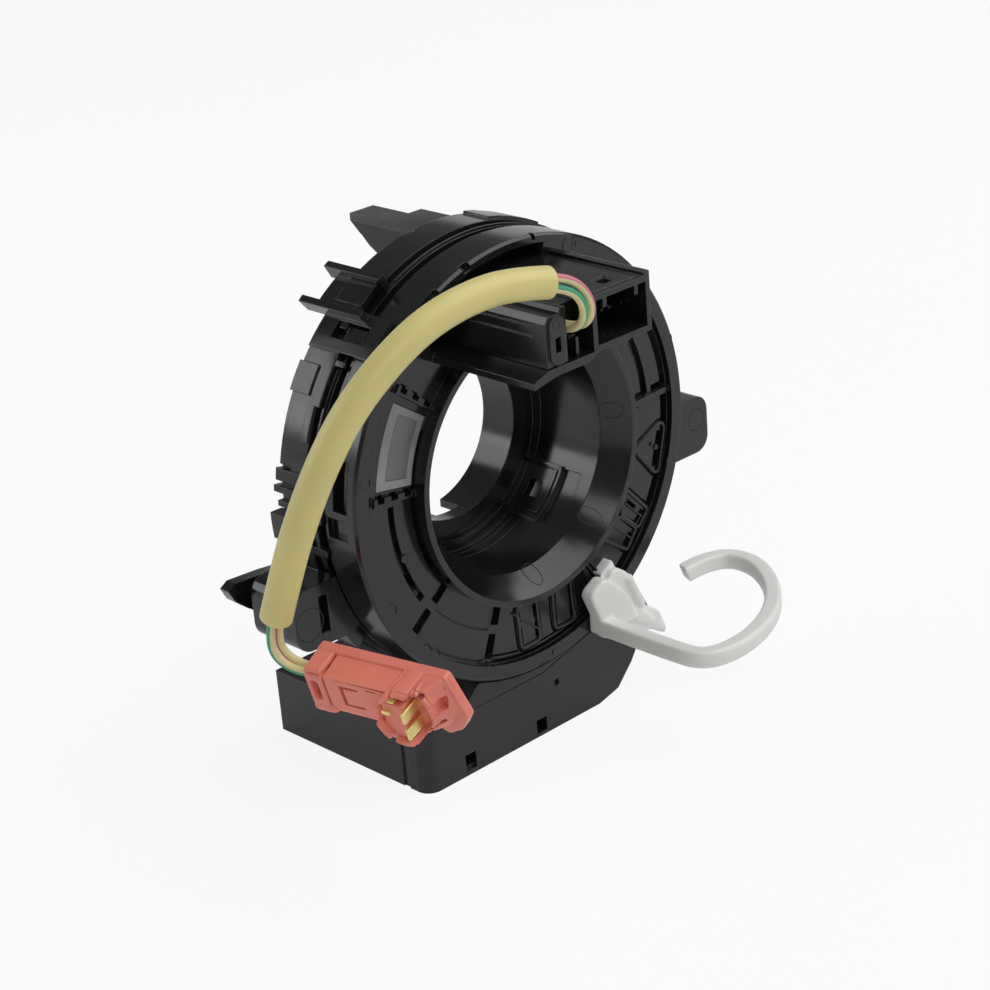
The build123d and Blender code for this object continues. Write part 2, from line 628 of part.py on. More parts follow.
def latch_frame():
    """Frame that reaches forward over the rotor's edge, with a window and two fins."""
    inner = RIM_R + 0.6
    outer = inner + FRAME_T
    frame = slab(sector(inner, outer, FIN_START, FIN_END), FRAME_MIDDLE, FIN_BACK - 3)
    frame += slab(sector(inner, outer, FIN_END - 1.5, FRAME_END), FRAME_FRONT, FRAME_BACK)
    frame += slab(sector(case_r - 1, outer, FIN_START, FRAME_END), CASE_FRONT, FRAME_BACK)
    half = degrees(FIN_T / 2 / case_r)
    fin = sector(inner, case_r + FIN_H, FIN_START - half, FIN_START + half)
    frame += slab(fin, FRAME_MIDDLE - 2, FIN_BACK)
    frame += slab(sector(inner, case_r + FIN_H, FIN_END - half, FIN_END + half), FRAME_MIDDLE - 4, FIN_BACK)
    window = slab(sector(case_r - 1, outer + 1, 131.8, 135.6), 7.6, CASE_FRONT - 0.2)
    nub = slab(sector(inner, outer + 0.3, 132.6, 134.6), CASE_FRONT - 1.6, CASE_FRONT)
    return frame - window + nub


def side_features():
    """Clips, steps and wing along the left flank, and the low step at the top."""
    steps = slab(sector(case_r - 1, case_r + 0.4, 142.5, 150.0), CASE_FRONT + 3, CASE_END)
    steps += slab(sector(case_r - 1, case_r + 0.6, 171.5, 176.0), CASE_FRONT + 2, CASE_END - 2.5)
    steps += slab(sector(case_r - 1, case_r + 2.2, 179.5, 186.0), CASE_FRONT + 4, CASE_END + 0.4)
    steps += slab(sector(case_r - 1, case_r + 0.6, 76, 80), CASE_FRONT + 1, CASE_END)
    wing = outline((-50.0, -14.2), (-54.0, -13.7), (-62.4, -13.2), (-WING_REACH, -14.4), (-63.0, -17.2),
                   (-60.0, -19.8), (-56.0, -22.6), (-50.0, -24.0))
    neck = outline((-46.0, -14.6), (-57.0, -14.2), (-58.6, -16.0), (-56.0, -21.4), (-46.0, -23.6))
    return steps + slab(wing, WING_FRONT, WING_END) + slab(neck, CASE_END - 1, WING_FRONT + 1)


def flank_cuts():
    """Places on the left flank where the rear edge of the skirt lies further forward."""
    cuts = slab(sector(case_r - 0.5, case_r + 5, FRAME_END, 168.0), CASE_END - 1.4, CASE_END + 1)
    return cuts + slab(sector(case_r - 1.3, case_r + 0.3, 168.0, 216.0), CASE_END - 4, CASE_END + 1)


def block_profile(inset):
    """Outline of the connector block: box, slanted right side and a neck that meets the ring."""
    i = inset
    return outline(
        (BLOCK_LEFT + i, block_bottom + i), (BLOCK_RIGHT - 6.5, block_bottom + i),
        (BLOCK_RIGHT - i / 2, block_bottom + 1.5 + i),
        (BLOCK_RIGHT + 4.9 - i, block_bottom + 6.4 + i / 2), (BLOCK_RIGHT + 8.4 - i, block_bottom + 11.1),
        (BLOCK_RIGHT + 8.4 - i, block_top - i), (BLOCK_LEFT + i, block_top - i))


def connector_block():
    """Housing under the case: wiring space in front, two vehicle sockets behind."""
    start = FRONT_SHELL_END + SHELL_GAP
    shell = slab(block_profile(0), start, BLOCK_END)
    neck = outline((-22, block_top - 0.5), (26, block_top - 0.5), (30, block_top + 10.1),
                   (-22, block_top + 6.1))
    neck -= Circle(case_r - 1)
    shell += slab(neck, CASE_FRONT, CASE_END)
    shell -= slab(block_profile(BLOCK_WALL), start - 1, BULKHEAD)
    middle = (block_bottom + block_top) / 2
    for x0, width in socket_places():
        shell -= block(x0, x0 + width, BULKHEAD + 2, BLOCK_END + 1,
                       middle - PLUG_SOCKET_H / 2, middle + PLUG_SOCKET_H / 2)
    # step that parts the front flange from the rear half of the housing
    shell -= block(BLOCK_LEFT - 1, BLOCK_LEFT + 0.4, start - 1, start + 1.6,
                   block_bottom - 1, block_top + 1)
    hole = PIN + 0.04
    for x, z in vehicle_pin_places():
        shell -= block(x - hole / 2, x + hole / 2, BULKHEAD - 1, BULKHEAD + 3, z - hole / 2, z + hole / 2)
    return shell


def socket_places():
    harness_x = BLOCK_LEFT + 2.2
    return (harness_x, HARNESS_W), (harness_x + HARNESS_W + 2.4, AIRBAG_W)


def vehicle_pin_places():
    middle = (block_bottom + block_top) / 2
    places = []
    for (x0, width), columns in zip(socket_places(), (HARNESS_COLUMNS, AIRBAG_COLUMNS)):
        first = x0 + (width - (columns - 1) * 3.0) / 2
        for row in (-CONTACT_ROW_GAP / 2, CONTACT_ROW_GAP / 2):
            places += [(first + column * 3.0, middle + row) for column in range(columns)]
    return places


def rear_case():
    """Rear moulding: skirt, plate, ears, post, latch frame and connector block in one piece."""
    body = turned(
        (case_hole_r, plate_front), (case_in, plate_front), (case_in, CASE_FRONT),
        (case_r, CASE_FRONT), (case_r, CASE_END), (case_hole_r, CASE_END),
    )
    body += ear(left_ear_x, LEFT_EAR_TOP) + ear(right_ear_x, RIGHT_EAR_TOP)
    body -= flank_cuts()
    body += rear_post() + latch_frame() + side_features() + connector_block()
    # raised ribs on the rear face
    for angle in range(0, 360, 45):
        spoke = block(sleeve_r + 1.9, case_r - 2, CASE_END - 0.5, CASE_END + 1.4, -0.8, 0.8)
        body += at_angle(spoke, angle + 10)
    body -= slab(Circle(sleeve_r + 1.4), CASE_END, CASE_END + 3)
    return body - (end_block_way(FIT) - block(-40, 40, plate_front, 60, -90, 0))


def block_front_cover():
    """Front cover of the connector block, reaching up beside the rotor on the right."""
    face = outline(
        (BLOCK_LEFT, block_bottom), (BLOCK_RIGHT - 6.5, block_bottom), (BLOCK_RIGHT, block_bottom + 1.5),
        (BLOCK_RIGHT + 4.9, block_bottom + 6.4), (BLOCK_RIGHT + 9.4, block_top - 2.5),
        (BLOCK_RIGHT + 13.4, block_top + 5.5), (BLOCK_RIGHT + 10.6, block_top + 8.5), (0, block_top),
        (BLOCK_LEFT, block_top)) - Circle(RIM_R + SEAM_GAP)
    cover = slab(face, BLOCK_FRONT, FRONT_SHELL_END)
    cover -= slab(block_profile(2 * BLOCK_WALL + FIT), BLOCK_FRONT + FRONT_SHELL_T, FRONT_SHELL_END + 1)
    upright = cover.edges().filter_by(Axis.Z).group_by(Axis.X)[0].group_by(Axis.Y)[0]
    cover = fillet(upright, BLOCK_CORNER)
    # locating lip inside the housing
    lip = block_profile(BLOCK_WALL + FIT) - block_profile(2 * BLOCK_WALL + FIT)
    cover += slab(lip, FRONT_SHELL_END - 1, FRONT_SHELL_END + 2.4)
    for x in (-23.6, -1.3):
        cover -= block(x - 1.6, x + 1.6, BLOCK_FRONT - 1, BLOCK_FRONT + 0.8,
                       block_bottom + 1.1, block_bottom + 4.3)
    return cover - block(3.6, 5.0, BLOCK_FRONT - 1, BLOCK_FRONT + 0.8, block_top - 4.9, block_top - 3.3)


def vehicle_pins():
    """Contact pins of the two vehicle sockets."""
    return Compound(children=[
        block(x - PIN / 2, x + PIN / 2, BULKHEAD - 4, BLOCK_END - 7, z - PIN / 2, z + PIN / 2)
        for x, z in vehicle_pin_places()])


def busbar_plate():
    """Insulated busbar plate between the cable's end block and the vehicle pins."""
    middle = (block_bottom + block_top) / 2
    plate = block(BLOCK_LEFT + 3, BLOCK_RIGHT - 1.0, BULKHEAD - 4 - 1.6, BULKHEAD - 4,
                  middle - 3.6, middle + 3.2)
    return plate + block(end_block_x - 5, end_block_x + 5, plate_front - 3, BULKHEAD - 4,
                         middle + 1.0, block_top - 4)


def lead_points(side):
    """Route of one wire: the common centre line moved to one side."""
    centre = [Vector(*point) for point in LEAD_ROUTE]
    moved = []
    for index, point in enumerate(centre):
        before = centre[max(index - 1, 0)]
        after = centre[min(index + 1, len(centre) - 1)]
        along = (after - before).normalized()
        across = Vector(*LEAD_SIDES[index])
        across = (across - along * across.dot(along)).normalized()
        moved.append(point + across * (side * WIRE_SPREAD))
    return moved


def corner_radii(points, name):
    """Largest even bends that the runs allow, printed for the record."""
    radii = []
    for before, here, after in zip(points, points[1:], points[2:]):
        first, second = here - before, after - here
        turn = first.get_angle(second)
        radii.append(RADIUS_SHARE * min(first.length, second.length) / tan(radians(turn / 2)))
    print(name, "bend radii:", [round(radius, 1) for radius in radii])
    return radii


def cord_path(points, name):
    return FilletPolyline(*points, radius=corner_radii(points, name))


def cord_tube(points, section, name):
    """Sweep a round section along straight runs joined by tangent arcs."""
    path = cord_path(points, name)
    start = Plane(origin=path @ 0, z_dir=path % 0)
    tube = sweep(start * section, path=path)
    print(name, "length", round(path.length, 1), "volume", round(tube.volume, 1),
          "section times length", round(section.area * path.length, 1))
    return tube


def sheath_points():
    # the sheath starts just before the route's sixth point and ends near its fifteenth
    centre = [Vector(*point) for point in LEAD_ROUTE]
    first = centre[4] * 0.2 + centre[5] * 0.8
    last = centre[13] * 0.24 + centre[14] * 0.76
    return [first] + centre[6:14] + [last]


plug_plane = Plane(origin=PLUG_ORIGIN, x_dir=PLUG_ALONG, z_dir=PLUG_FACE)


def plug_box(x0, x1, z0, z1, w0, w1):
    """Box in the plug's frame: along it, up it and out of its face."""
    return plug_plane * Pos((x0 + x1) / 2, (z0 + z1) / 2, (w0 + w1) / 2) * Box(x1 - x0, z1 - z0, w1 - w0)


def plug_slab(profile, w0, w1):
    return extrude(plug_plane.offset(w0) * profile, amount=w1 - w0)


def plug_housing():
    """Tray of the airbag plug with its pointed end, and the round snout."""
    base = outline((0, 0), (PLUG_L, 0), (PLUG_POINT, 1.6 - PLUG_H), (PLUG_POINT - 2.2, -PLUG_H - 2.0),
                   (PLUG_POINT - 6.0, -PLUG_H - 4.4), (SNOUT_X - 4, -PLUG_H), (0, -PLUG_H))
    tray = plug_slab(base, 0, 1.8)
    rim = outline((0, 0), (PLUG_L - 6, 0), (PLUG_L - 6, -PLUG_WALL), (PLUG_WALL, -PLUG_WALL),
                  (PLUG_WALL, -4.4), (0, -4.4))
    tray += plug_slab(rim, 0, PLUG_T)
    tray += plug_box(0, PLUG_WALL, -PLUG_H, -4.4, 0, PLUG_T - 2.0)
    tray += plug_box(0, PLUG_COVER_L, -PLUG_H, -PLUG_H + PLUG_WALL, 0, PLUG_T - 2.4)
    tray += plug_box(PLUG_COVER_L + FIT, PLUG_L - 0.6, -6.4, -1.0, 0, PLUG_T)
    tray -= plug_slab(Pos(SNOUT_X, SNOUT_Z) * Circle(SNOUT_R), 3.0, PLUG_T + 1)
    snout = Circle(SNOUT_R) - Circle(SNOUT_R - 1.3)
    tray += plug_slab(Pos(SNOUT_X, SNOUT_Z) * Circle(SNOUT_R + 0.4), 0, 3.0)
    tray += plug_slab(Pos(SNOUT_X, SNOUT_Z) * snout, 2.5, PLUG_T + SNOUT_L)
    for turn in (20.0, 110.0, 200.0, 290.0):
        gap = Pos(SNOUT_X, SNOUT_Z) * Rot(0, 0, turn) * Pos(SNOUT_R, 0) * Rectangle(5, 1.6)
        tray -= plug_slab(gap, PLUG_T, PLUG_T + SNOUT_L + 1)
    hole = WIRE_D + 0.3
    for side in (-1, 1):
        end = plug_plane.to_local_coords(lead_points(side)[-1])
        wire_hole = Pos(PLUG_WALL / 2, end.Y) * Rectangle(2 * PLUG_WALL, hole)
        tray -= plug_slab(wire_hole, end.Z - hole / 2, end.Z + hole / 2)
    return tray


def plug_cover():
    """Cover pressed into the tray, with its C-shaped slot and the side latch window."""
    left = PLUG_WALL + FIT
    bottom = -PLUG_H + PLUG_WALL + FIT
    body = plug_box(left, PLUG_COVER_L, bottom, -PLUG_WALL - FIT, PLUG_T - 2.2, PLUG_T + PLUG_COVER_PROUD)
    body += plug_box(left, PLUG_COVER_L - 5.6, bottom, bottom + 1.2, 1.9, PLUG_T)
    round_room = Pos(SNOUT_X, SNOUT_Z) * Circle(SNOUT_R + 0.4 + FIT)
    body -= plug_slab(round_room, 0, PLUG_T + 3)
    top = PLUG_T + PLUG_COVER_PROUD
    slot = Rectangle(0.9, 5.2) + Pos(2.0, 2.2) * Rectangle(4.6, 0.8) + Pos(2.0, -2.2) * Rectangle(4.6, 0.8)
    slot = Pos(PLUG_COVER_L / 2 - 1.35, 0.5 - PLUG_H / 2) * slot
    return body - plug_slab(slot, top - 1.2, top + 1)


def plug_latch():
    """Latch tab with its window, on the wire end of the plug."""
    tab = Pos(PLUG_WALL + 1.7, -6.2) * (RectangleRounded(3.0, 7.2, 0.6) - RectangleRounded(1.4, 4.2, 0.4))
    return plug_slab(tab, PLUG_T + PLUG_COVER_PROUD, PLUG_T + PLUG_COVER_PROUD + 0.9)


def plug_contacts():
    """The two contact blades in the snout."""
    blades = []
    for shift in (-1.9, 1.9):
        blade = Pos(SNOUT_X, SNOUT_Z) * Rot(0, 0, 38) * Pos(0, shift) * Rectangle(CONTACT_T, CONTACT_W)
        blades.append(plug_slab(blade, 3.0, 3.0 + CONTACT_L - 1))
    return Compound(children=blades)


def transport_lock():
    """Translucent lock: clip on the rim, key through the rotor and a strap to pull it by."""
    top, bottom = LOCK_STRAP_TOP, LOCK_STRAP_TOP - LOCK_STRAP_H
    x = LOCK_BASE_X
    route = [(x, -0.6), (x, -25.5), (x + 8.0, -34.6), (x + 22.0, -34.8), (x + 37.0, -22.5), (x + 44.2, -11.0),
             (x + 44.0, -4.2), (x + 38.0, -2.4), (x + 30.0, -2.6)]
    radii = [7.5, 7.0, 16.0, 20.0, 4.5, 4.0, 8.0]
    line = FilletPolyline(*[(px, py, top - LOCK_STRAP_H / 2) for px, py in route], radius=radii)
    start = Plane(origin=line @ 0, x_dir=(1, 0, 0), z_dir=line % 0)
    strap = sweep(start * Rectangle(LOCK_STRAP_W, LOCK_STRAP_H), path=line)
    left = x - LOCK_STRAP_W / 2
    hook = outline((left, bottom), (left, top), (-8.9, -3.1), (-8.3, -1.9), (-4.6, 0.2), (-2.3, -1.0),
                   (3.4, -6.7), (6.4, bottom))
    plate = outline((left, bottom), (left, top), (-1.0, -0.5), (0.2, 0.5), (1.4, 0.2), (4.0, -1.5),
                    (5.2, -3.1), (6.8, -6.7), (9.0, -11.5), (13.7, -14.7), (14.6, -15.6), (16.6, -20.7),
                    (16.0, -22.3), (9.8, -18.1), (3.8, bottom))
    clip = slab(hook, LOCK_CLIP_FRONT, -0.6) + slab(plate, LOCK_PLATE_FRONT, -FIT)
    rib = outline((4.2, -2.3), (5.2, -3.1), (9.0, -11.5), (7.7, -12.0))
    clip += slab(rib, LOCK_PLATE_FRONT - 1.0, LOCK_PLATE_FRONT + 1)
    key = block(lock_key_r - LOCK_KEY_T / 2, lock_key_r + LOCK_KEY_T / 2, -1.0, LOCK_KEY_END,
                -LOCK_KEY_W / 2, LOCK_KEY_W / 2)
    return Pos(lock_x, 0, lock_z) * (strap + clip) + at_angle(key, LOCK_KEY_ANGLE)


def write(name, shape):
    export_step(shape, f"parts/{name}.step")


def main():
    os.makedirs("parts", exist_ok=True)
    wire = Circle(WIRE_D / 2)
    sheath = Circle(SHEATH_D / 2) - Circle(SHEATH_BORE / 2)
    nodes = {
        "rotor": rotor(),
        "terminal_cover": terminal_cover(),
        "lead_terminal_holder": lead_holder(),
        "lead_terminals": lead_terminals(),
        "switch_pin_carrier": pin_carrier(),
        "switch_pins": switch_pins(),
        "hub_end_block": hub_end_block(),
        "inspection_window": window_plate(),
        "inner_sleeve": inner_sleeve(),
        "cancel_cam": cancel_cam(),
        "flat_cable": flat_cable(),
        "slip_sheet_front": slip_sheet(sheet_front, True),
        "slip_sheet_rear": slip_sheet(plate_front - SHEET_T, False),
        "stator_case": stator_case(),
        "rear_case": rear_case(),
        "case_end_block": case_end_block(),
        "busbar_plate": busbar_plate(),
        "block_front_cover": block_front_cover(),
        "vehicle_pins": vehicle_pins(),
        "lead_wire_green": cord_tube(lead_points(-1), wire, "green striped wire"),
        "lead_wire_red": cord_tube(lead_points(1), wire, "red striped wire"),
        "lead_sheath": cord_tube(sheath_points(), sheath, "sheath"),
        "airbag_plug_housing": plug_housing(),
        "airbag_plug_cover": plug_cover(),
        "airbag_plug_latch": plug_latch(),
        "airbag_plug_contacts": plug_contacts(),
        "transport_lock": transport_lock(),
    }
    for name, shape in nodes.items():
        write(name, shape)


main()
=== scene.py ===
"""Dresses the steering clock spring: studio, airbag lead, mouldings, plug and transport lock.

Everything is in metres in the part's own frame: the bore runs along Y, the steering wheel side
faces -Y, Z is up. Sizes of the pieces are written in millimetres and scaled once.
"""

from __future__ import annotations

import json
import logging
import math
from dataclasses import dataclass
from enum import Enum
from typing import Iterable, Sequence

import bmesh
import bpy
import numpy as np
from mathutils import Matrix, Vector

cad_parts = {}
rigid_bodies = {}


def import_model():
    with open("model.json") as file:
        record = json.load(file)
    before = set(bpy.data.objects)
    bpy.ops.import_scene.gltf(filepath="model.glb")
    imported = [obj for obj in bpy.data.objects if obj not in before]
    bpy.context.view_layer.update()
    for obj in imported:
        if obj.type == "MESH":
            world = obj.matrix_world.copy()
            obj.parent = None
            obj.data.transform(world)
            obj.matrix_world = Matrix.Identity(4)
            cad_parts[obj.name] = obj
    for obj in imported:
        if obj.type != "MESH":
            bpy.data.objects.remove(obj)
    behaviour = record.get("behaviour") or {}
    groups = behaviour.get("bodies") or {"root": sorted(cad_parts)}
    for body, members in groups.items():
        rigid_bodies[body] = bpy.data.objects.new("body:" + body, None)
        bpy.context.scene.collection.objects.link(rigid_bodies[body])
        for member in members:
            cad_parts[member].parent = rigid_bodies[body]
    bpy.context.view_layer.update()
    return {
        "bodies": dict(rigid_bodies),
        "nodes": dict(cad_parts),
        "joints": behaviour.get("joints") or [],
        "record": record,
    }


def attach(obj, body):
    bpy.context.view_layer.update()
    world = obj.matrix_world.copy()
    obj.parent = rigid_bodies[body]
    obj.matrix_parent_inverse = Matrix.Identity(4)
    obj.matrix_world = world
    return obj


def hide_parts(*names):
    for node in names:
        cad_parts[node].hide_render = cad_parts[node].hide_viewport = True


MM = 0.001
MERGE = 2e-6
CARVED_MERGE = 1e-6
CARVED_SHARP = 24.0
OUTWARD = (0.0, 0.0, 1.0)
LOG = logging.getLogger("clock_spring")
Colour = tuple[float, float, float]
Point = tuple[float, float, float]
Spot = tuple[float, float]
Shape = tuple[np.ndarray, list]
Thing = bpy.types.Object
Node = bpy.types.Node
Socket = bpy.types.NodeSocket
Material = bpy.types.Material


class Body(Enum):
    """The part's three moving bodies."""

    ROTOR = "rotor"
    STATOR = "stator"
    LOCK = "lock"


class Slot(Enum):
    """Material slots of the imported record, and the window's second finish."""

    SATIN = "black_satin"
    CAM = "cam_black"
    INSULATOR = "insulator_black"
    PANEL = "window_panel"
    WINDOW = "window_grey"
    TIN = "contact_tin"
    BRASS = "contact_brass"
    RIBBON = "ribbon_amber"
    SLIP = "slip_white"
    GREEN = "wire_green"
    RED = "wire_red"
    SHEATH = "sheath_yellow"
    PLUG = "plug_red"
    LOCK = "lock_clear"


class Tree:
    """Small hand for building one node tree."""

    def __init__(self, tree: bpy.types.NodeTree) -> None:
        """Keep the tree.

        Args:
            tree: node tree to build in.
        """
        self.tree = tree

    def add(self, kind: str, values: dict | None = None, **settings: object) -> Node:
        """Add one node.

        Args:
            kind: node type without the common prefix.
            values: input socket values, by name or index.
            settings: attributes of the node.

        Returns:
            The new node.
        """
        node = self.tree.nodes.new("ShaderNode" + kind)
        for name, value in settings.items():
            setattr(node, name, value)
        for name, value in (values or {}).items():
            node.inputs[name].default_value = value
        return node

    def join(self, source: Socket, target: Socket) -> None:
        """Link two sockets."""
        self.tree.links.new(source, target)

    def math(self, operation: str, first: float | Socket, second: float | Socket = 0.0) -> Socket:
        """Add a math node.

        Args:
            operation: name of the operation.
            first: socket or number.
            second: socket or number.

        Returns:
            The node's output socket.
        """
        node = self.add("Math", operation=operation)
        for socket, value in zip(node.inputs, (first, second)):
            if isinstance(value, Socket):
                self.join(value, socket)
            else:
                socket.default_value = value
        return node.outputs[0]

    def mix(self, factor: float | Socket, first: Colour | Socket, second: Colour | Socket) -> Socket:
        """Mix two colours.

        Args:
            factor: socket or number.
            first: socket or colour at 0.
            second: socket or colour at 1.

        Returns:
            The mixed colour's socket.
        """
        node = self.add("Mix", data_type="RGBA")
        for socket, value in zip((node.inputs[0], node.inputs[6], node.inputs[7]), (factor, first, second)):
            if isinstance(value, Socket):
                self.join(value, socket)
            elif isinstance(value, float):
                socket.default_value = value
            else:
                socket.default_value = (*value, 1.0)
        return node.outputs[2]

    def spread(self, value: Socket, low: float, high: float, new_low: float, new_high: float) -> Socket:
        """Map a value from one range to another, held at the ends.

        Args:
            value: socket to map.
            low: lower end of the old range.
            high: upper end of the old range.
            new_low: lower end of the new range.
            new_high: upper end of the new range.

        Returns:
            The mapped value's socket.
        """
        node = self.add("MapRange", {1: low, 2: high, 3: new_low, 4: new_high})
        self.join(value, node.inputs[0])
        return node.outputs[0]

    def noise(self, scale: float, detail: float = 2.0, rough: float = 0.5) -> Socket:
        """Noise on object coordinates.

        Args:
            scale: cells per metre.
            detail: octaves.
            rough: strength of the finer octaves.

        Returns:
            The noise value's socket.
        """
        place = self.add("TexCoord")
        node = self.add("TexNoise", {"Scale": scale, "Detail": detail, "Roughness": rough})
        self.join(place.outputs["Object"], node.inputs["Vector"])
        return node.outputs[0]


@dataclass(frozen=True)
class GroupKit:
    """The shared effects: soft edges, edge wear, mould grain and dust."""

    soft_edges: bpy.types.NodeTree
    edge_wear: bpy.types.NodeTree
    mould_grain: bpy.types.NodeTree
    dust: bpy.types.NodeTree

    @staticmethod
    def blank(name: str, inputs: Iterable[str], outputs: dict[str, str]) -> tuple[Tree, Node, Node]:
        """Start a node group.

        Args:
            name: name of the group.
            inputs: names of its number inputs.
            outputs: names of its outputs, with their socket kinds.

        Returns:
            The group's tree, its input node and its output node.
        """
        tree = bpy.data.node_groups.new(name, "ShaderNodeTree")
        for socket in inputs:
            tree.interface.new_socket(socket, in_out="INPUT", socket_type="NodeSocketFloat")
        for socket, kind in outputs.items():
            tree.interface.new_socket(socket, in_out="OUTPUT", socket_type="NodeSocket" + kind)
        start = tree.nodes.new("NodeGroupInput")
        end = tree.nodes.new("NodeGroupOutput")
        return Tree(tree), start, end

    @classmethod
    def build(cls) -> GroupKit:
        """Build the four groups.
        """
        soft, start, end = cls.blank("soft_edges", ["Radius"], {"Normal": "Vector"})
        bevel = soft.add("Bevel", samples=6)
        soft.join(start.outputs[0], bevel.inputs["Radius"])
        soft.join(bevel.outputs[0], end.inputs[0])

        wear, start, end = cls.blank("edge_wear", ["Radius", "Amount"], {"Mask": "Float"})
        bevel = wear.add("Bevel", samples=6)
        wear.join(start.outputs[0], bevel.inputs["Radius"])
        true = wear.add("NewGeometry")
        dot = wear.add("VectorMath", operation="DOT_PRODUCT")
        wear.join(bevel.outputs[0], dot.inputs[0])
        wear.join(true.outputs["Normal"], dot.inputs[1])
        bare = wear.spread(dot.outputs["Value"], 0.995, 0.8, 0.0, 1.0)
        patchy = wear.spread(wear.noise(420.0, 4.0, 0.6), 0.38, 0.66, 0.0, 1.0)
        mask = wear.math("MULTIPLY", wear.math("MULTIPLY", bare, patchy), start.outputs[1])
        wear.join(mask, end.inputs[0])

        grain, start, end = cls.blank("mould_grain", ["Cells", "Depth"], {"Height": "Float", "Cloud": "Float"})
        place = grain.add("TexCoord")
        fine = grain.add("TexNoise", {"Detail": 3.0, "Roughness": 0.6})
        grain.join(place.outputs["Object"], fine.inputs["Vector"])
        grain.join(start.outputs[0], fine.inputs["Scale"])
        height = grain.math("MULTIPLY", grain.math("SUBTRACT", fine.outputs[0], 0.5), start.outputs[1])
        cloud = grain.spread(grain.noise(55.0, 4.0, 0.6), 0.3, 0.7, 0.0, 1.0)
        grain.join(height, end.inputs[0])
        grain.join(cloud, end.inputs[1])

        dust, start, end = cls.blank("dust", ["Amount"], {"Mask": "Float"})
        true = dust.add("NewGeometry")
        split = dust.add("SeparateXYZ")
        dust.join(true.outputs["Normal"], split.inputs[0])
        up = dust.spread(split.outputs["Z"], -0.2, 1.0, 0.25, 1.0)
        specks = dust.spread(dust.noise(1900.0, 2.0, 0.5), 0.62, 0.74, 0.0, 1.0)
        film = dust.spread(dust.noise(90.0, 5.0, 0.65), 0.42, 0.72, 0.0, 0.5)
        both = dust.math("MAXIMUM", specks, film)
        mask = dust.math("MULTIPLY", dust.math("MULTIPLY", both, up), start.outputs[0])
        dust.join(mask, end.inputs[0])
        return cls(soft.tree, wear.tree, grain.tree, dust.tree)


@dataclass(frozen=True)
class Finish:
    """A finish made as one material, with what all of them share."""

    name: str
    colour: Colour
    roughness: float

    def material(self, kit: GroupKit) -> Material:
        """Build the material; each kind of finish has its own way."""
        raise NotImplementedError

    def start(self) -> tuple[Material, Tree, Node]:
        """Make an empty material with its shader.

        Returns:
            The material, its tree and its shader node.
        """
        material = bpy.data.materials.new(self.name)
        material.use_nodes = True
        tree = Tree(material.node_tree)
        shader = material.node_tree.nodes["Principled BSDF"]
        shader.inputs["Base Color"].default_value = (*self.colour, 1.0)
        shader.inputs["Roughness"].default_value = self.roughness
        return material, tree, shader

    def shade(self, share: float) -> Colour:
        """The finish's colour, darker or lighter by a share."""
        return tuple(min(1.0, value * share) for value in self.colour)

    def group(self, tree: Tree, group: bpy.types.NodeTree, **values: float) -> Node:
        """Place a shared group.

        Args:
            tree: tree of the material.
            group: group to place.
            values: the group's input values.

        Returns:
            The group node.
        """
        node = tree.add("Group", node_tree=group)
        for name, value in values.items():
            node.inputs[name].default_value = value
        return node

    @staticmethod
    def bump(tree: Tree, shader: Node, height: Socket, strength: float, depth: float,
             normal: Socket | None = None) -> None:
        """Give the shader a fine relief.

        Args:
            tree: tree of the material.
            shader: its shader.
            height: height of the relief, 0 to 1.
            strength: share of the relief that shows.
            depth: its full depth in metres.
            normal: normal to start from, or None for the surface's own.
        """
        bump = tree.add("Bump", {"Strength": strength, "Distance": depth})
        tree.join(height, bump.inputs["Height"])
        if normal:
            tree.join(normal, bump.inputs["Normal"])
        tree.join(bump.outputs[0], shader.inputs["Normal"])

    @staticmethod
    def scatter(shader: Node, weight: float, radius: Colour, scale: float) -> None:
        """Let light in below the surface, by a weight, a radius for each colour and a scale in metres."""
        for name, value in (("Weight", weight), ("Radius", radius), ("Scale", scale)):
            shader.inputs["Subsurface " + name].default_value = value


@dataclass(frozen=True)
class MouldedPlastic(Finish):
    """Injection moulded plastic: grain, cloudy gloss, soft edges, light wear and a little dust."""

    grain_cells: float = 2600.0
    grain_depth: float = 0.5
    gloss_spread: float = 0.10
    edge: float = 0.30
    wear: float = 0.3
    dust: float = 0.05
    worn: Colour = (0.16, 0.16, 0.165)
    tint: float = 0.12
    dust_colour: Colour = (0.42, 0.41, 0.39)
    subsurface: float = 0.0

    def material(self, kit: GroupKit) -> Material:
        """Build the material.

        Args:
            kit: the shared groups.

        Returns:
            The material.
        """
        material, tree, shader = self.start()
        grain = self.group(tree, kit.mould_grain, Cells=self.grain_cells, Depth=self.grain_depth)
        wear = self.group(tree, kit.edge_wear, Radius=self.edge * MM * 1.2, Amount=self.wear)
        dust = self.group(tree, kit.dust, Amount=self.dust)
        soft = self.group(tree, kit.soft_edges, Radius=self.edge * MM)
        base = tree.mix(grain.outputs["Cloud"], self.shade(1.0 - self.tint), self.shade(1.0 + self.tint))
        base = tree.mix(wear.outputs["Mask"], base, self.worn)
        base = tree.mix(dust.outputs["Mask"], base, self.dust_colour)
        tree.join(base, shader.inputs["Base Color"])
        gloss = tree.spread(grain.outputs["Cloud"], 0.0, 1.0, self.roughness - self.gloss_spread / 2,
                            self.roughness + self.gloss_spread / 2)
        gloss = tree.math("ADD", gloss, tree.math("MULTIPLY", dust.outputs["Mask"], 0.5))
        gloss = tree.math("ADD", gloss, tree.math("MULTIPLY", wear.outputs["Mask"], 0.2))
        tree.join(gloss, shader.inputs["Roughness"])
        self.bump(tree, shader, grain.outputs["Height"], 0.35, 0.00004, soft.outputs["Normal"])
        if self.subsurface:
            self.scatter(shader, self.subsurface, (0.9, 0.7, 0.6), 0.0016)
        return material


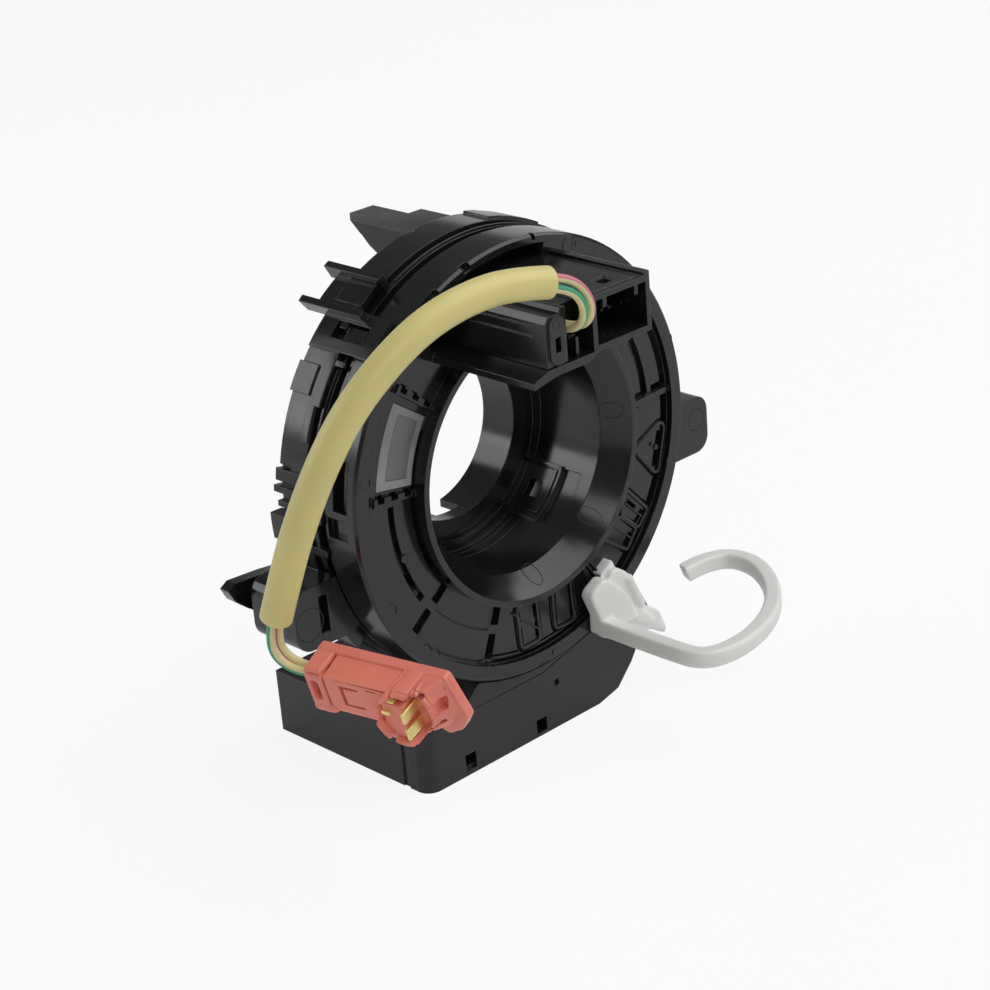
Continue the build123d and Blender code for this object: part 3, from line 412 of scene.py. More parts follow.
@dataclass(frozen=True)
class PlatedMetal(Finish):
    """Plated contact metal with drawn lines and a slightly dull film."""

    lines: float = 5200.0

    def material(self, kit: GroupKit) -> Material:
        """Build the material.

        Args:
            kit: the shared groups.

        Returns:
            The material.
        """
        material, tree, shader = self.start()
        shader.inputs["Metallic"].default_value = 1.0
        place = tree.add("TexCoord")
        squeeze = tree.add("Mapping", {"Scale": (1.0, 0.04, 1.0)})
        drawn = tree.add("TexNoise", {"Scale": self.lines, "Detail": 2.0})
        tree.join(place.outputs["Object"], squeeze.inputs["Vector"])
        tree.join(squeeze.outputs[0], drawn.inputs["Vector"])
        film = tree.spread(tree.noise(300.0, 3.0), 0.4, 0.7, 0.0, 0.35)
        tree.join(tree.mix(film, self.colour, self.shade(0.55)), shader.inputs["Base Color"])
        tree.join(tree.spread(drawn.outputs[0], 0.3, 0.7, self.roughness - 0.06, self.roughness + 0.1),
                  shader.inputs["Roughness"])
        soft = self.group(tree, kit.soft_edges, Radius=0.06 * MM)
        self.bump(tree, shader, drawn.outputs[0], 0.2, 0.00001, soft.outputs["Normal"])
        return material


@dataclass(frozen=True)
class StripedWire(Finish):
    """Wire insulation with a coloured stripe that runs along it, read from the wire's own map."""

    stripe: Colour = (0.05, 0.4, 0.2)
    stripe_at: float = 0.5
    stripe_half: float = 0.16

    def material(self, kit: GroupKit) -> Material:
        """Build the material.

        Args:
            kit: the shared groups.

        Returns:
            The material.
        """
        material, tree, shader = self.start()
        along = tree.add("UVMap", uv_map="run")
        split = tree.add("SeparateXYZ")
        tree.join(along.outputs[0], split.inputs[0])
        wave = tree.math("SINE", tree.math("MULTIPLY", split.outputs["X"], 38.0))
        place = tree.math("ADD", split.outputs["Y"], tree.math("MULTIPLY", wave, 0.06))
        off = tree.math("ABSOLUTE", tree.math("SUBTRACT", place, self.stripe_at))
        band = tree.spread(off, self.stripe_half, self.stripe_half - 0.02, 0.0, 1.0)
        faint = tree.spread(tree.noise(900.0, 3.0), 0.35, 0.65, 0.0, 0.18)
        ground = tree.mix(faint, self.colour, self.shade(0.75))
        tree.join(tree.mix(band, ground, self.stripe), shader.inputs["Base Color"])
        tree.join(tree.spread(tree.noise(1500.0, 2.0), 0.3, 0.7, self.roughness - 0.05, self.roughness + 0.08),
                  shader.inputs["Roughness"])
        self.bump(tree, shader, tree.noise(1400.0, 2.0), 0.25, 0.00003)
        return material


@dataclass(frozen=True)
class SoftVinyl(Finish):
    """Pulled vinyl sleeving: a faint die line along it, soft gloss and small scuffs."""

    def material(self, kit: GroupKit) -> Material:
        """Build the material.

        Args:
            kit: the shared groups.

        Returns:
            The material.
        """
        material, tree, shader = self.start()
        cloud = tree.spread(tree.noise(60.0, 4.0, 0.6), 0.3, 0.7, 0.0, 1.0)
        ground = tree.mix(cloud, self.shade(0.95), self.shade(1.04))
        scuff = tree.spread(tree.noise(700.0, 5.0, 0.7), 0.60, 0.72, 0.0, 0.22)
        tree.join(tree.mix(scuff, ground, (0.62, 0.57, 0.38)), shader.inputs["Base Color"])
        gloss = tree.spread(cloud, 0.0, 1.0, self.roughness - 0.06, self.roughness + 0.06)
        tree.join(gloss, shader.inputs["Roughness"])
        along = tree.add("UVMap", uv_map="run")
        squeeze = tree.add("Mapping", {"Scale": (12.0, 46.0, 1.0)})
        pulled = tree.add("TexNoise", {"Scale": 1.0, "Detail": 2.0})
        tree.join(along.outputs[0], squeeze.inputs["Vector"])
        tree.join(squeeze.outputs[0], pulled.inputs["Vector"])
        self.bump(tree, shader, pulled.outputs[0], 0.22, 0.00006)
        self.scatter(shader, 0.12, (0.9, 0.75, 0.4), 0.0012)
        return material


@dataclass(frozen=True)
class AmberRibbon(Finish):
    """Flat cable: amber film over dull copper tracks that run along it, one above another."""

    pitch: float = 1.9
    copper: Colour = (0.60, 0.27, 0.13)

    def material(self, kit: GroupKit) -> Material:
        """Build the material.

        Args:
            kit: the shared groups.

        Returns:
            The material.
        """
        material, tree, shader = self.start()
        place = tree.add("TexCoord")
        split = tree.add("SeparateXYZ")
        tree.join(place.outputs["Object"], split.inputs[0])
        step = tree.math("FRACT", tree.math("MULTIPLY", split.outputs["Y"], 1.0 / (self.pitch * MM)))
        track = tree.spread(tree.math("ABSOLUTE", tree.math("SUBTRACT", step, 0.5)), 0.34, 0.30, 0.0, 1.0)
        tree.join(tree.mix(track, self.colour, self.copper), shader.inputs["Base Color"])
        tree.join(tree.spread(track, 0.0, 1.0, self.roughness, 0.34), shader.inputs["Roughness"])
        tree.join(tree.math("MULTIPLY", track, 0.7), shader.inputs["Metallic"])
        return material


class FinishBook:
    """All finishes of the part, made once and given out by slot."""

    def __init__(self) -> None:
        """Build the shared groups and every material."""
        black = (0.0085, 0.0086, 0.009)
        straw = (0.74, 0.66, 0.34)
        finishes = {
            Slot.SATIN: MouldedPlastic("black_satin_moulding", black, 0.16, gloss_spread=0.07, dust=0.03),
            Slot.CAM: MouldedPlastic("cam_black_moulding", (0.012, 0.0122, 0.0125), 0.17, dust=0.04),
            Slot.INSULATOR: MouldedPlastic("insulator_moulding", (0.03, 0.03, 0.031), 0.5),
            Slot.WINDOW: MouldedPlastic(
                "window_grey_moulding", (0.26, 0.265, 0.265), 0.6, grain_cells=1100.0, grain_depth=1.4,
                worn=(0.45, 0.45, 0.45), dust=0.2, tint=0.3),
            Slot.PANEL: MouldedPlastic(
                "window_panel_grey", (0.15, 0.155, 0.155), 0.42, grain_cells=1800.0, worn=(0.3, 0.3, 0.3),
                dust=0.05),
            Slot.TIN: PlatedMetal("tin_plate", (0.72, 0.71, 0.68), 0.3),
            Slot.BRASS: PlatedMetal("brass_plate", (0.93, 0.78, 0.34), 0.45),
            Slot.RIBBON: AmberRibbon("amber_ribbon", (0.50, 0.24, 0.05), 0.22),
            Slot.SLIP: MouldedPlastic(
                "white_slip_sheet", (0.80, 0.80, 0.78), 0.45, worn=(0.7, 0.7, 0.68), edge=0.05),
            Slot.GREEN: StripedWire(
                "green_striped_wire", straw, 0.38, stripe=(0.03, 0.33, 0.17), stripe_half=0.24),
            Slot.RED: StripedWire("red_striped_wire", straw, 0.38, stripe=(0.60, 0.19, 0.22), stripe_half=0.2),
            Slot.SHEATH: SoftVinyl("yellow_sleeving", (0.69, 0.605, 0.235), 0.40),
            Slot.PLUG: MouldedPlastic(
                "red_plug_moulding", (0.80, 0.225, 0.165), 0.36, worn=(0.86, 0.40, 0.32), dust=0.04, edge=0.22,
                subsurface=0.15, tint=0.06),
            Slot.LOCK: MouldedPlastic(
                "natural_lock_moulding", (0.79, 0.80, 0.775), 0.40, worn=(0.84, 0.85, 0.83), dust=0.02,
                edge=0.5, subsurface=0.55, tint=0.03),
        }
        kit = GroupKit.build()
        self.by_slot = {slot: finish.material(kit) for slot, finish in finishes.items()}

    def dress(self, thing: Thing, slot: Slot) -> None:
        """Give an object the finish of a slot.

        Args:
            thing: object to dress.
            slot: its material slot.
        """
        if not thing.material_slots:
            thing.data.materials.append(self.by_slot[slot])
        for place in thing.material_slots:
            place.material = self.by_slot[slot]


def placed(name: str, data: object) -> Thing:
    """New object with its data, linked to the scene."""
    thing = bpy.data.objects.new(name, data)
    bpy.context.scene.collection.objects.link(thing)
    return thing


def unit(vectors: np.ndarray) -> np.ndarray:
    """Vectors scaled to length one."""
    return vectors / np.linalg.norm(vectors, axis=-1, keepdims=True)


def spot(radius: float, angle: float) -> np.ndarray:
    """Point at a radius and an angle in degrees about the bore."""
    turn = math.radians(angle)
    return radius * np.array([math.cos(turn), math.sin(turn)])


@dataclass(frozen=True)
class Frame:
    """A place to build in: along, up and out of a face."""

    origin: Point = (0.0, 0.0, 0.0)
    along: Point = (1.0, 0.0, 0.0)
    out: Point = (0.0, -1.0, 0.0)

    def world(self, points: np.ndarray) -> np.ndarray:
        """Carry points from the frame to the part: origin plus along, up and out shares.

        Args:
            points: array whose last axis is along, up, out, in millimetres.

        Returns:
            The same array in millimetres of the part's frame.
        """
        along = unit(np.array(self.along))
        out = unit(np.array(self.out) - along * np.dot(self.out, along))
        return np.array(self.origin) + points @ np.stack([along, np.cross(out, along), out])


FACE = Frame()


def grid_faces(rows: int, columns: int, closed_rows: bool, closed_columns: bool) -> np.ndarray:
    """Quads of a grid of points, row by row.

    Args:
        rows: number of rows.
        columns: number of points in a row.
        closed_rows: whether the last row joins the first.
        closed_columns: whether each row closes on itself.

    Returns:
        Array of four indices a quad.
    """
    row = np.arange(rows if closed_rows else rows - 1)[:, None]
    column = np.arange(columns if closed_columns else columns - 1)[None, :]
    after, beside = (row + 1) % rows, (column + 1) % columns
    quads = [row * columns + column, row * columns + beside, after * columns + beside,
             after * columns + column]
    return np.stack(np.broadcast_arrays(*quads), axis=-1).reshape(-1, 4)


def skin(rings: np.ndarray, closed_rings: bool = True, joined_ends: bool = False, caps: bool = True) -> Shape:
    """Surface through rings of points, capped at both ends with flat faces.

    Args:
        rings: array of rings, points and coordinates.
        closed_rings: whether each ring closes on itself.
        joined_ends: whether the last ring joins the first.
        caps: whether open ends get a face.

    Returns:
        Points and faces.
    """
    count, around = rings.shape[:2]
    faces = grid_faces(count, around, joined_ends, closed_rings).tolist()
    if caps and not joined_ends:
        faces.append(list(range(around))[::-1])
        faces.append(list(range((count - 1) * around, count * around)))
    return rings.reshape(-1, 3), faces


class Moulding:
    """Collects shapes into one mesh object."""

    def __init__(self) -> None:
        """Start empty."""
        self.points: list[np.ndarray] = []
        self.faces: list[list[int]] = []
        self.count = 0

    def add(self, shape: Shape, frame: Frame = FACE) -> Moulding:
        """Add one shape.

        Args:
            shape: points in the frame, in millimetres, and faces.
            frame: where the shape is built.

        Returns:
            The collector itself.
        """
        points, faces = shape
        self.points.append(frame.world(points))
        self.faces += [[index + self.count for index in face] for face in faces]
        self.count += len(points)
        return self

    def build(self, name: str, sharp: float = 32.0) -> Thing:
        """Make the mesh object, with faces turned outwards.

        Args:
            name: name of the piece.
            sharp: angle in degrees above which an edge stays sharp.

        Returns:
            The new object.
        """
        mesh = bpy.data.meshes.new(name)
        mesh.from_pydata((np.concatenate(self.points) * MM).tolist(), [], self.faces)
        shell = bmesh.new()
        shell.from_mesh(mesh)
        bmesh.ops.recalc_face_normals(shell, faces=shell.faces[:])
        shell.to_mesh(mesh)
        shell.free()
        mesh.shade_smooth()
        mesh.set_sharp_from_angle(angle=math.radians(sharp))
        return placed(name, mesh)


def rounded(corners: Sequence[Spot], radius: float | Sequence[float], steps: int = 6) -> np.ndarray:
    """Closed outline with rounded corners: at each corner a quadratic curve between two points at
    the same distance from it, T1(1-s)^2 + 2 s(1-s) P + T2 s^2.

    Args:
        corners: corner points in order.
        radius: distance from each corner at which its curve starts.
        steps: points of each curve.

    Returns:
        Array of outline points.
    """
    point = np.array(corners, float)
    reach = np.broadcast_to(np.array(radius, float), (len(point),))[:, None]
    back = np.roll(point, 1, axis=0) - point
    ahead = np.roll(point, -1, axis=0) - point
    back_length = np.linalg.norm(back, axis=1, keepdims=True)
    ahead_length = np.linalg.norm(ahead, axis=1, keepdims=True)
    reach = np.minimum(reach, 0.49 * np.minimum(back_length, ahead_length))
    first = point + back / back_length * reach
    last = point + ahead / ahead_length * reach
    share = np.linspace(0.0, 1.0, steps)[None, :, None]
    curve = first[:, None] * (1 - share) ** 2 + 2 * share * (1 - share) * point[:, None]
    return (curve + last[:, None] * share**2).reshape(-1, 2)


def inset(outline: np.ndarray, distance: float) -> np.ndarray:
    """Outline moved inwards along its own normals.

    Args:
        outline: closed outline.
        distance: how far to move it.

    Returns:
        The moved outline.
    """
    run = np.roll(outline, -1, axis=0) - np.roll(outline, 1, axis=0)
    run = run / np.maximum(np.linalg.norm(run, axis=1, keepdims=True), 1e-9)
    normal = np.stack([-run[:, 1], run[:, 0]], axis=1)
    around = np.roll(outline, -1, axis=0)
    area = np.sum(outline[:, 0] * around[:, 1] - around[:, 0] * outline[:, 1])
    return outline + normal * distance * (1.0 if area > 0 else -1.0)


def plate(outline: np.ndarray, back: float, front: float, soft: float = 0.25) -> Shape:
    """Plate with the given outline; its front edge follows a quarter circle of the soft radius.

    Args:
        outline: closed outline, along and up.
        back: height of its back face.
        front: height of its front face.
        soft: radius of the front edge.

    Returns:
        Points and faces.
    """
    turn = np.linspace(0.0, math.pi / 2, 5)
    heights = np.concatenate([[back], front - soft + soft * np.sin(turn)])
    insets = np.concatenate([[0.0], soft * (1.0 - np.cos(turn))])
    rings = np.stack([
        np.column_stack([inset(outline, step), np.full(len(outline), height)])
        for step, height in zip(insets, heights)])
    return skin(rings)


def carried(path: np.ndarray, profile: np.ndarray, out: np.ndarray, closed: bool = False) -> Shape:
    """Profile carried along a path: place + side * across + out * height.

    Args:
        path: points of the path.
        profile: profile points, across and height.
        out: direction of height, for all points or for each.
        closed: whether the path closes on itself.

    Returns:
        Points and faces.
    """
    if closed:
        run = np.roll(path, -1, axis=0) - np.roll(path, 1, axis=0)
    else:
        run = np.gradient(path, axis=0)
    run = unit(run)
    height = np.broadcast_to(out, path.shape)
    height = unit(height - run * np.sum(height * run, axis=1, keepdims=True))
    side = np.cross(run, height)
    rings = path[:, None] + side[:, None] * profile[None, :, :1] + height[:, None] * profile[None, :, 1:]
    return skin(rings, joined_ends=closed)


def rib_profile(width: float, height: float, soft: float) -> np.ndarray:
    """Section of a low rib: sunk foot, straight sides and a top with round shoulders.

    Args:
        width: width of the rib.
        height: its height.
        soft: radius of its shoulders.

    Returns:
        Array of across and height.
    """
    turn = np.linspace(0.0, math.pi / 2, 4)
    right = np.column_stack([width / 2 - soft + soft * np.cos(turn), height - soft + soft * np.sin(turn)])
    left = right[::-1] * np.array([-1.0, 1.0])
    return np.concatenate([[[width / 2, -0.3]], right, left, [[-width / 2, -0.3]]])


def arc(radius: float, start: float, end: float, steps: int = 48) -> np.ndarray:
    """Points on a circle about the bore, from one angle in degrees to another."""
    angle = np.radians(np.linspace(start, end, steps))
    return np.column_stack([radius * np.cos(angle), radius * np.sin(angle)])


def ring_part(inner: float, outer: float, start: float, end: float, steps: int = 24) -> np.ndarray:
    """Closed outline of a part of a flat ring: the outer arc one way, the inner arc back.

    Args:
        inner: inner radius.
        outer: outer radius.
        start: first angle in degrees.
        end: last angle in degrees.
        steps: points of each arc.

    Returns:
        Outline points.
    """
    return np.concatenate([arc(outer, start, end, steps), arc(inner, end, start, steps)])


def strip(points: Sequence[Spot] | np.ndarray, width: float | Sequence[float]) -> np.ndarray:
    """Closed outline of a strip along a line: line + normal * width / 2, and back on the other side.

    Args:
        points: points of the line.
        width: its width, at all points or at each.

    Returns:
        Outline points.
    """
    line = np.array(points, float)
    run = unit(np.gradient(line, axis=0))
    normal = np.column_stack([-run[:, 1], run[:, 0]])
    half = np.broadcast_to(np.array(width, float) / 2, (len(line),))[:, None]
    return np.concatenate([line + normal * half, (line - normal * half)[::-1]])


def prism(outline: np.ndarray, back: float, front: float) -> Shape:
    """Straight prism on an outline, from one height to another."""
    rings = [np.column_stack([outline, np.full(len(outline), height)]) for height in (back, front)]
    return skin(np.stack(rings))


def flat(points: np.ndarray, height: float = 0.0) -> np.ndarray:
    """Points of a line with one height added to each."""
    return np.column_stack([points, np.full(len(points), height)])


def dense(points: Sequence[Spot] | np.ndarray, step: float = 0.6) -> np.ndarray:
    """Points along a line of straight runs, closer together than a step.

    Args:
        points: corners of the line.
        step: longest distance between two points.

    Returns:
        Points of the line.
    """
    line = np.array(points, float)
    reach = np.concatenate([[0.0], np.cumsum(np.linalg.norm(np.diff(line, axis=0), axis=1))])
    places = np.linspace(0.0, reach[-1], max(2, int(reach[-1] / step) + 1))
    return np.column_stack([np.interp(places, reach, line[:, axis]) for axis in range(line.shape[1])])


def bead(line: np.ndarray, height: float, section: np.ndarray, closed: bool = False) -> Shape:
    """Section carried along a line that lies on a face at one height."""
    return carried(flat(line, height), section, OUTWARD, closed)


def witness(place: Sequence[float] | np.ndarray, radius: float, height: float = 0.0, width: float = 0.16,
            tall: float = 0.07) -> Shape:
    """Thin raised ring that an ejector pin leaves on a face.

    Args:
        place: middle of the ring, along and up.
        radius: radius of the pin.
        height: height of the face.
        width: width of the raised line.
        tall: how far it stands out.

    Returns:
        Points and faces.
    """
    ring = arc(radius, 0.0, 352.0, 44) + np.array(place)
    return bead(ring, height, rib_profile(width, tall, 0.05), closed=True)


def box_outline(left: float, right: float, low: float, high: float) -> np.ndarray:
    """Outline of a rectangle."""
    return np.array([(left, low), (right, low), (right, high), (left, high)])


def merge(mesh: bpy.types.Mesh, distance: float, triangles: bool = False) -> None:
    """Drop a mesh's stored normals and join its points that lie together.

    Args:
        mesh: mesh to change.
        distance: greatest distance of joined points, in metres.
        triangles: whether every face is cut into triangles.
    """
    if "custom_normal" in mesh.attributes:
        mesh.attributes.remove(mesh.attributes["custom_normal"])
    shell = bmesh.new()
    shell.from_mesh(mesh)
    bmesh.ops.remove_doubles(shell, verts=shell.verts[:], dist=distance)
    if triangles:
        bmesh.ops.triangulate(shell, faces=shell.faces[:])
    shell.to_mesh(mesh)
    shell.free()


def carve(name: str, node: Thing, cutters: Iterable[Moulding], joined: bool = True) -> Thing:
    """Copy of a moulding, merged, with every cutter taken out of it.

    Args:
        name: name of the new piece.
        node: the moulding.
        cutters: closed shapes to take away, which may overlap.
        joined: whether the moulding is one closed surface; if not, its overlapping shapes are united.

    Returns:
        The new piece, with its place in its mesh.
    """
    mesh = node.data.copy()
    mesh.name = name
    merge(mesh, MERGE)
    thing = placed(name, mesh)
    tools = bpy.data.collections.new(name + "_cutters")
    for index, cutter in enumerate(cutters):
        tool = cutter.build(f"{name}_cutter_{index}")
        bpy.context.scene.collection.objects.unlink(tool)
        tools.objects.link(tool)
    cut = thing.modifiers.new("cut", "BOOLEAN")
    cut.operation = "DIFFERENCE"
    cut.operand_type = "COLLECTION"
    cut.collection = tools
    cut.solver = "EXACT"
    cut.use_self = not joined
    bpy.context.view_layer.update()
    result = bpy.data.meshes.new_from_object(thing.evaluated_get(bpy.context.evaluated_depsgraph_get()))
    thing.modifiers.clear()
    thing.data = result
    result.name = name
    for tool in list(tools.objects):
        old = tool.data
        bpy.data.objects.remove(tool)
        bpy.data.meshes.remove(old)
    bpy.data.collections.remove(tools)
    bpy.data.meshes.remove(mesh)
    merge(result, CARVED_MERGE, triangles=True)
    result.shade_smooth()
    result.set_sharp_from_angle(angle=math.radians(CARVED_SHARP))
    LOG.info("carved %s: %d faces", name, len(result.polygons))
    return thing


def seat(piece: Thing, body: Body, slot: Slot, book: FinishBook, *nodes: str) -> Thing:
    """Put a piece on its body with its finish, in place of any named nodes.

    Args:
        piece: the piece.
        body: body that carries it.
        slot: its material slot.
        book: finishes.
        nodes: CAD nodes that it stands for.

    Returns:
        The piece itself.
    """
    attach(piece, body.value)
    if nodes:
        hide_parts(*nodes)
    book.dress(piece, slot)
    LOG.info("piece %s", piece.name)
    return piece


@dataclass(frozen=True)
class Softbox:
    """A large square lamp."""

    name: str
    place: Point
    size: float
    share: float


@dataclass
class Studio:
    """Pale floor, soft lamps, world light and the camera of the photograph."""

    floor_z: float = -0.0675
    floor_half: float = 3.0
    backdrop_r: float = 1.4
    backdrop_top: float = 0.42
    backdrop_turn: tuple[float, float, int] = (35.0, 158.0, 40)
    seen_white: float = 0.88
    mirrored_white: float = 0.3
    lens: float = 88.6661
    sensor: float = 36.0
    clip: Spot = (0.01, 20.0)
    camera_place: Point = (-0.3362569, -0.356739, 0.2003454)
    forward: Point = (0.6206251, 0.6801274, -0.3901938)
    up: Point = (0.3239704, 0.2307467, 0.9174961)
    world: float = 0.16
    boxes: tuple[Softbox, ...] = (
        Softbox("top_softbox", (0.60, -0.42, 1.04), 1.45, 0.90),
        Softbox("front_softbox", (-0.62, -1.05, 0.80), 0.8, 0.20),
        Softbox("back_softbox", (-0.78, 0.90, 0.46), 0.62, 0.20),
    )

    def build(self) -> None:
        """Make the camera, lamps, world and floor."""
        self.set_camera()
        self.set_world()
        for box in self.boxes:
            self.hang(box)
        self.lay_floor()

    def set_camera(self) -> None:
        """Place the camera where the photograph was taken."""
        scene = bpy.context.scene
        data = bpy.data.cameras.new("photo_camera")
        data.lens = self.lens
        data.sensor_width = self.sensor
        data.sensor_fit = "HORIZONTAL"
        data.clip_start, data.clip_end = self.clip
        camera = placed("photo_camera", data)
        back = -Vector(self.forward).normalized()
        up = Vector(self.up).normalized()
        right = up.cross(back).normalized()
        turn = Matrix((right, up, back)).transposed().to_4x4()
        camera.matrix_world = Matrix.Translation(self.camera_place) @ turn
        scene.camera = camera
        scene.view_settings.view_transform = "Standard"

    def set_world(self) -> None:
        """White for the camera, a soft pale grey as light."""
        world = bpy.data.worlds.new("studio_world")
        bpy.context.scene.world = world
        world.use_nodes = True
        tree = Tree(world.node_tree)
        world.node_tree.nodes.clear()
        ray = tree.add("LightPath")
        seen = tree.add("Background", {"Color": (1.0, 1.0, 1.0, 1.0), "Strength": 1.0})
        light = tree.add("Background", {"Color": (0.98, 0.99, 1.0, 1.0), "Strength": self.world})
        both = tree.add("MixShader")
        end = tree.add("OutputWorld")
        tree.join(ray.outputs["Is Camera Ray"], both.inputs[0])
        tree.join(light.outputs[0], both.inputs[1])
        tree.join(seen.outputs[0], both.inputs[2])
        tree.join(both.outputs[0], end.inputs["Surface"])

    def hang(self, box: Softbox) -> None:
        """Hang one lamp so that it gives its share of plain light at the part.

        Args:
            box: the lamp.
        """
        data = bpy.data.lights.new(box.name, "AREA")
        data.shape = "SQUARE"
        data.size = box.size
        place = Vector(box.place)
        data.energy = box.share * math.pi**2 * place.length_squared
        turn = place.to_track_quat("Z", "Y").to_matrix().to_4x4()
        placed(box.name, data).matrix_world = Matrix.Translation(place) @ turn

    def lay_floor(self) -> None:
        """Lay the pale floor under the part and stand the low backdrop behind it: a wall at one
        radius about the part, (r cos t, r sin t, z).
        """
        half, low = self.floor_half, self.floor_z
        floor = self.stand("floor", flat(box_outline(-half, half, -half, half), low), [[0, 1, 2, 3]])
        wall = arc(self.backdrop_r, *self.backdrop_turn)
        faces = grid_faces(2, len(wall), False, False).tolist()
        points = np.concatenate([flat(wall, low), flat(wall, self.backdrop_top)])
        backdrop = self.stand("backdrop", points, faces)
        for thing in (floor, backdrop):
            thing.data.materials.append(self.pale_material(thing.name))

    @staticmethod
    def stand(name: str, points: np.ndarray, faces: list[list[int]]) -> Thing:
        """Make one piece of the stage.

        Args:
            name: its name.
            points: its points in metres.
            faces: its faces.

        Returns:
            The new object.
        """
        mesh = bpy.data.meshes.new(name)
        mesh.from_pydata(points.tolist(), [], faces)
        thing = placed(name, mesh)
        return thing

    def pale_material(self, name: str) -> Material:
        """Pale card that the camera and mirror-like surfaces see as nearly white.

        Args:
            name: name of the material.

        Returns:
            The material.
        """
        material = bpy.data.materials.new("pale_" + name)
        material.use_nodes = True
        tree = Tree(material.node_tree)
        shader = material.node_tree.nodes["Principled BSDF"]
        shader.inputs["Roughness"].default_value = 0.8
        shader.inputs["Specular IOR Level"].default_value = 0.1
        cloud = tree.spread(tree.noise(6.0, 3.0), 0.3, 0.7, 0.0, 1.0)
        tree.join(tree.mix(cloud, (0.83, 0.83, 0.83), (0.86, 0.86, 0.86)), shader.inputs["Base Color"])
        white = tree.add("Emission", {"Color": (1.0, 1.0, 1.0, 1.0), "Strength": 1.0})
        ray = tree.add("LightPath")
        both = tree.add("MixShader")
        end = material.node_tree.nodes["Material Output"]
        seen = tree.math("MULTIPLY", ray.outputs["Is Camera Ray"], self.seen_white)
        mirrored = tree.math("MULTIPLY", ray.outputs["Is Glossy Ray"], self.mirrored_white)
        tree.join(tree.math("MAXIMUM", seen, mirrored), both.inputs[0])
        tree.join(shader.outputs[0], both.inputs[1])
        tree.join(white.outputs[0], both.inputs[2])
        tree.join(both.outputs[0], end.inputs["Surface"])
        return material


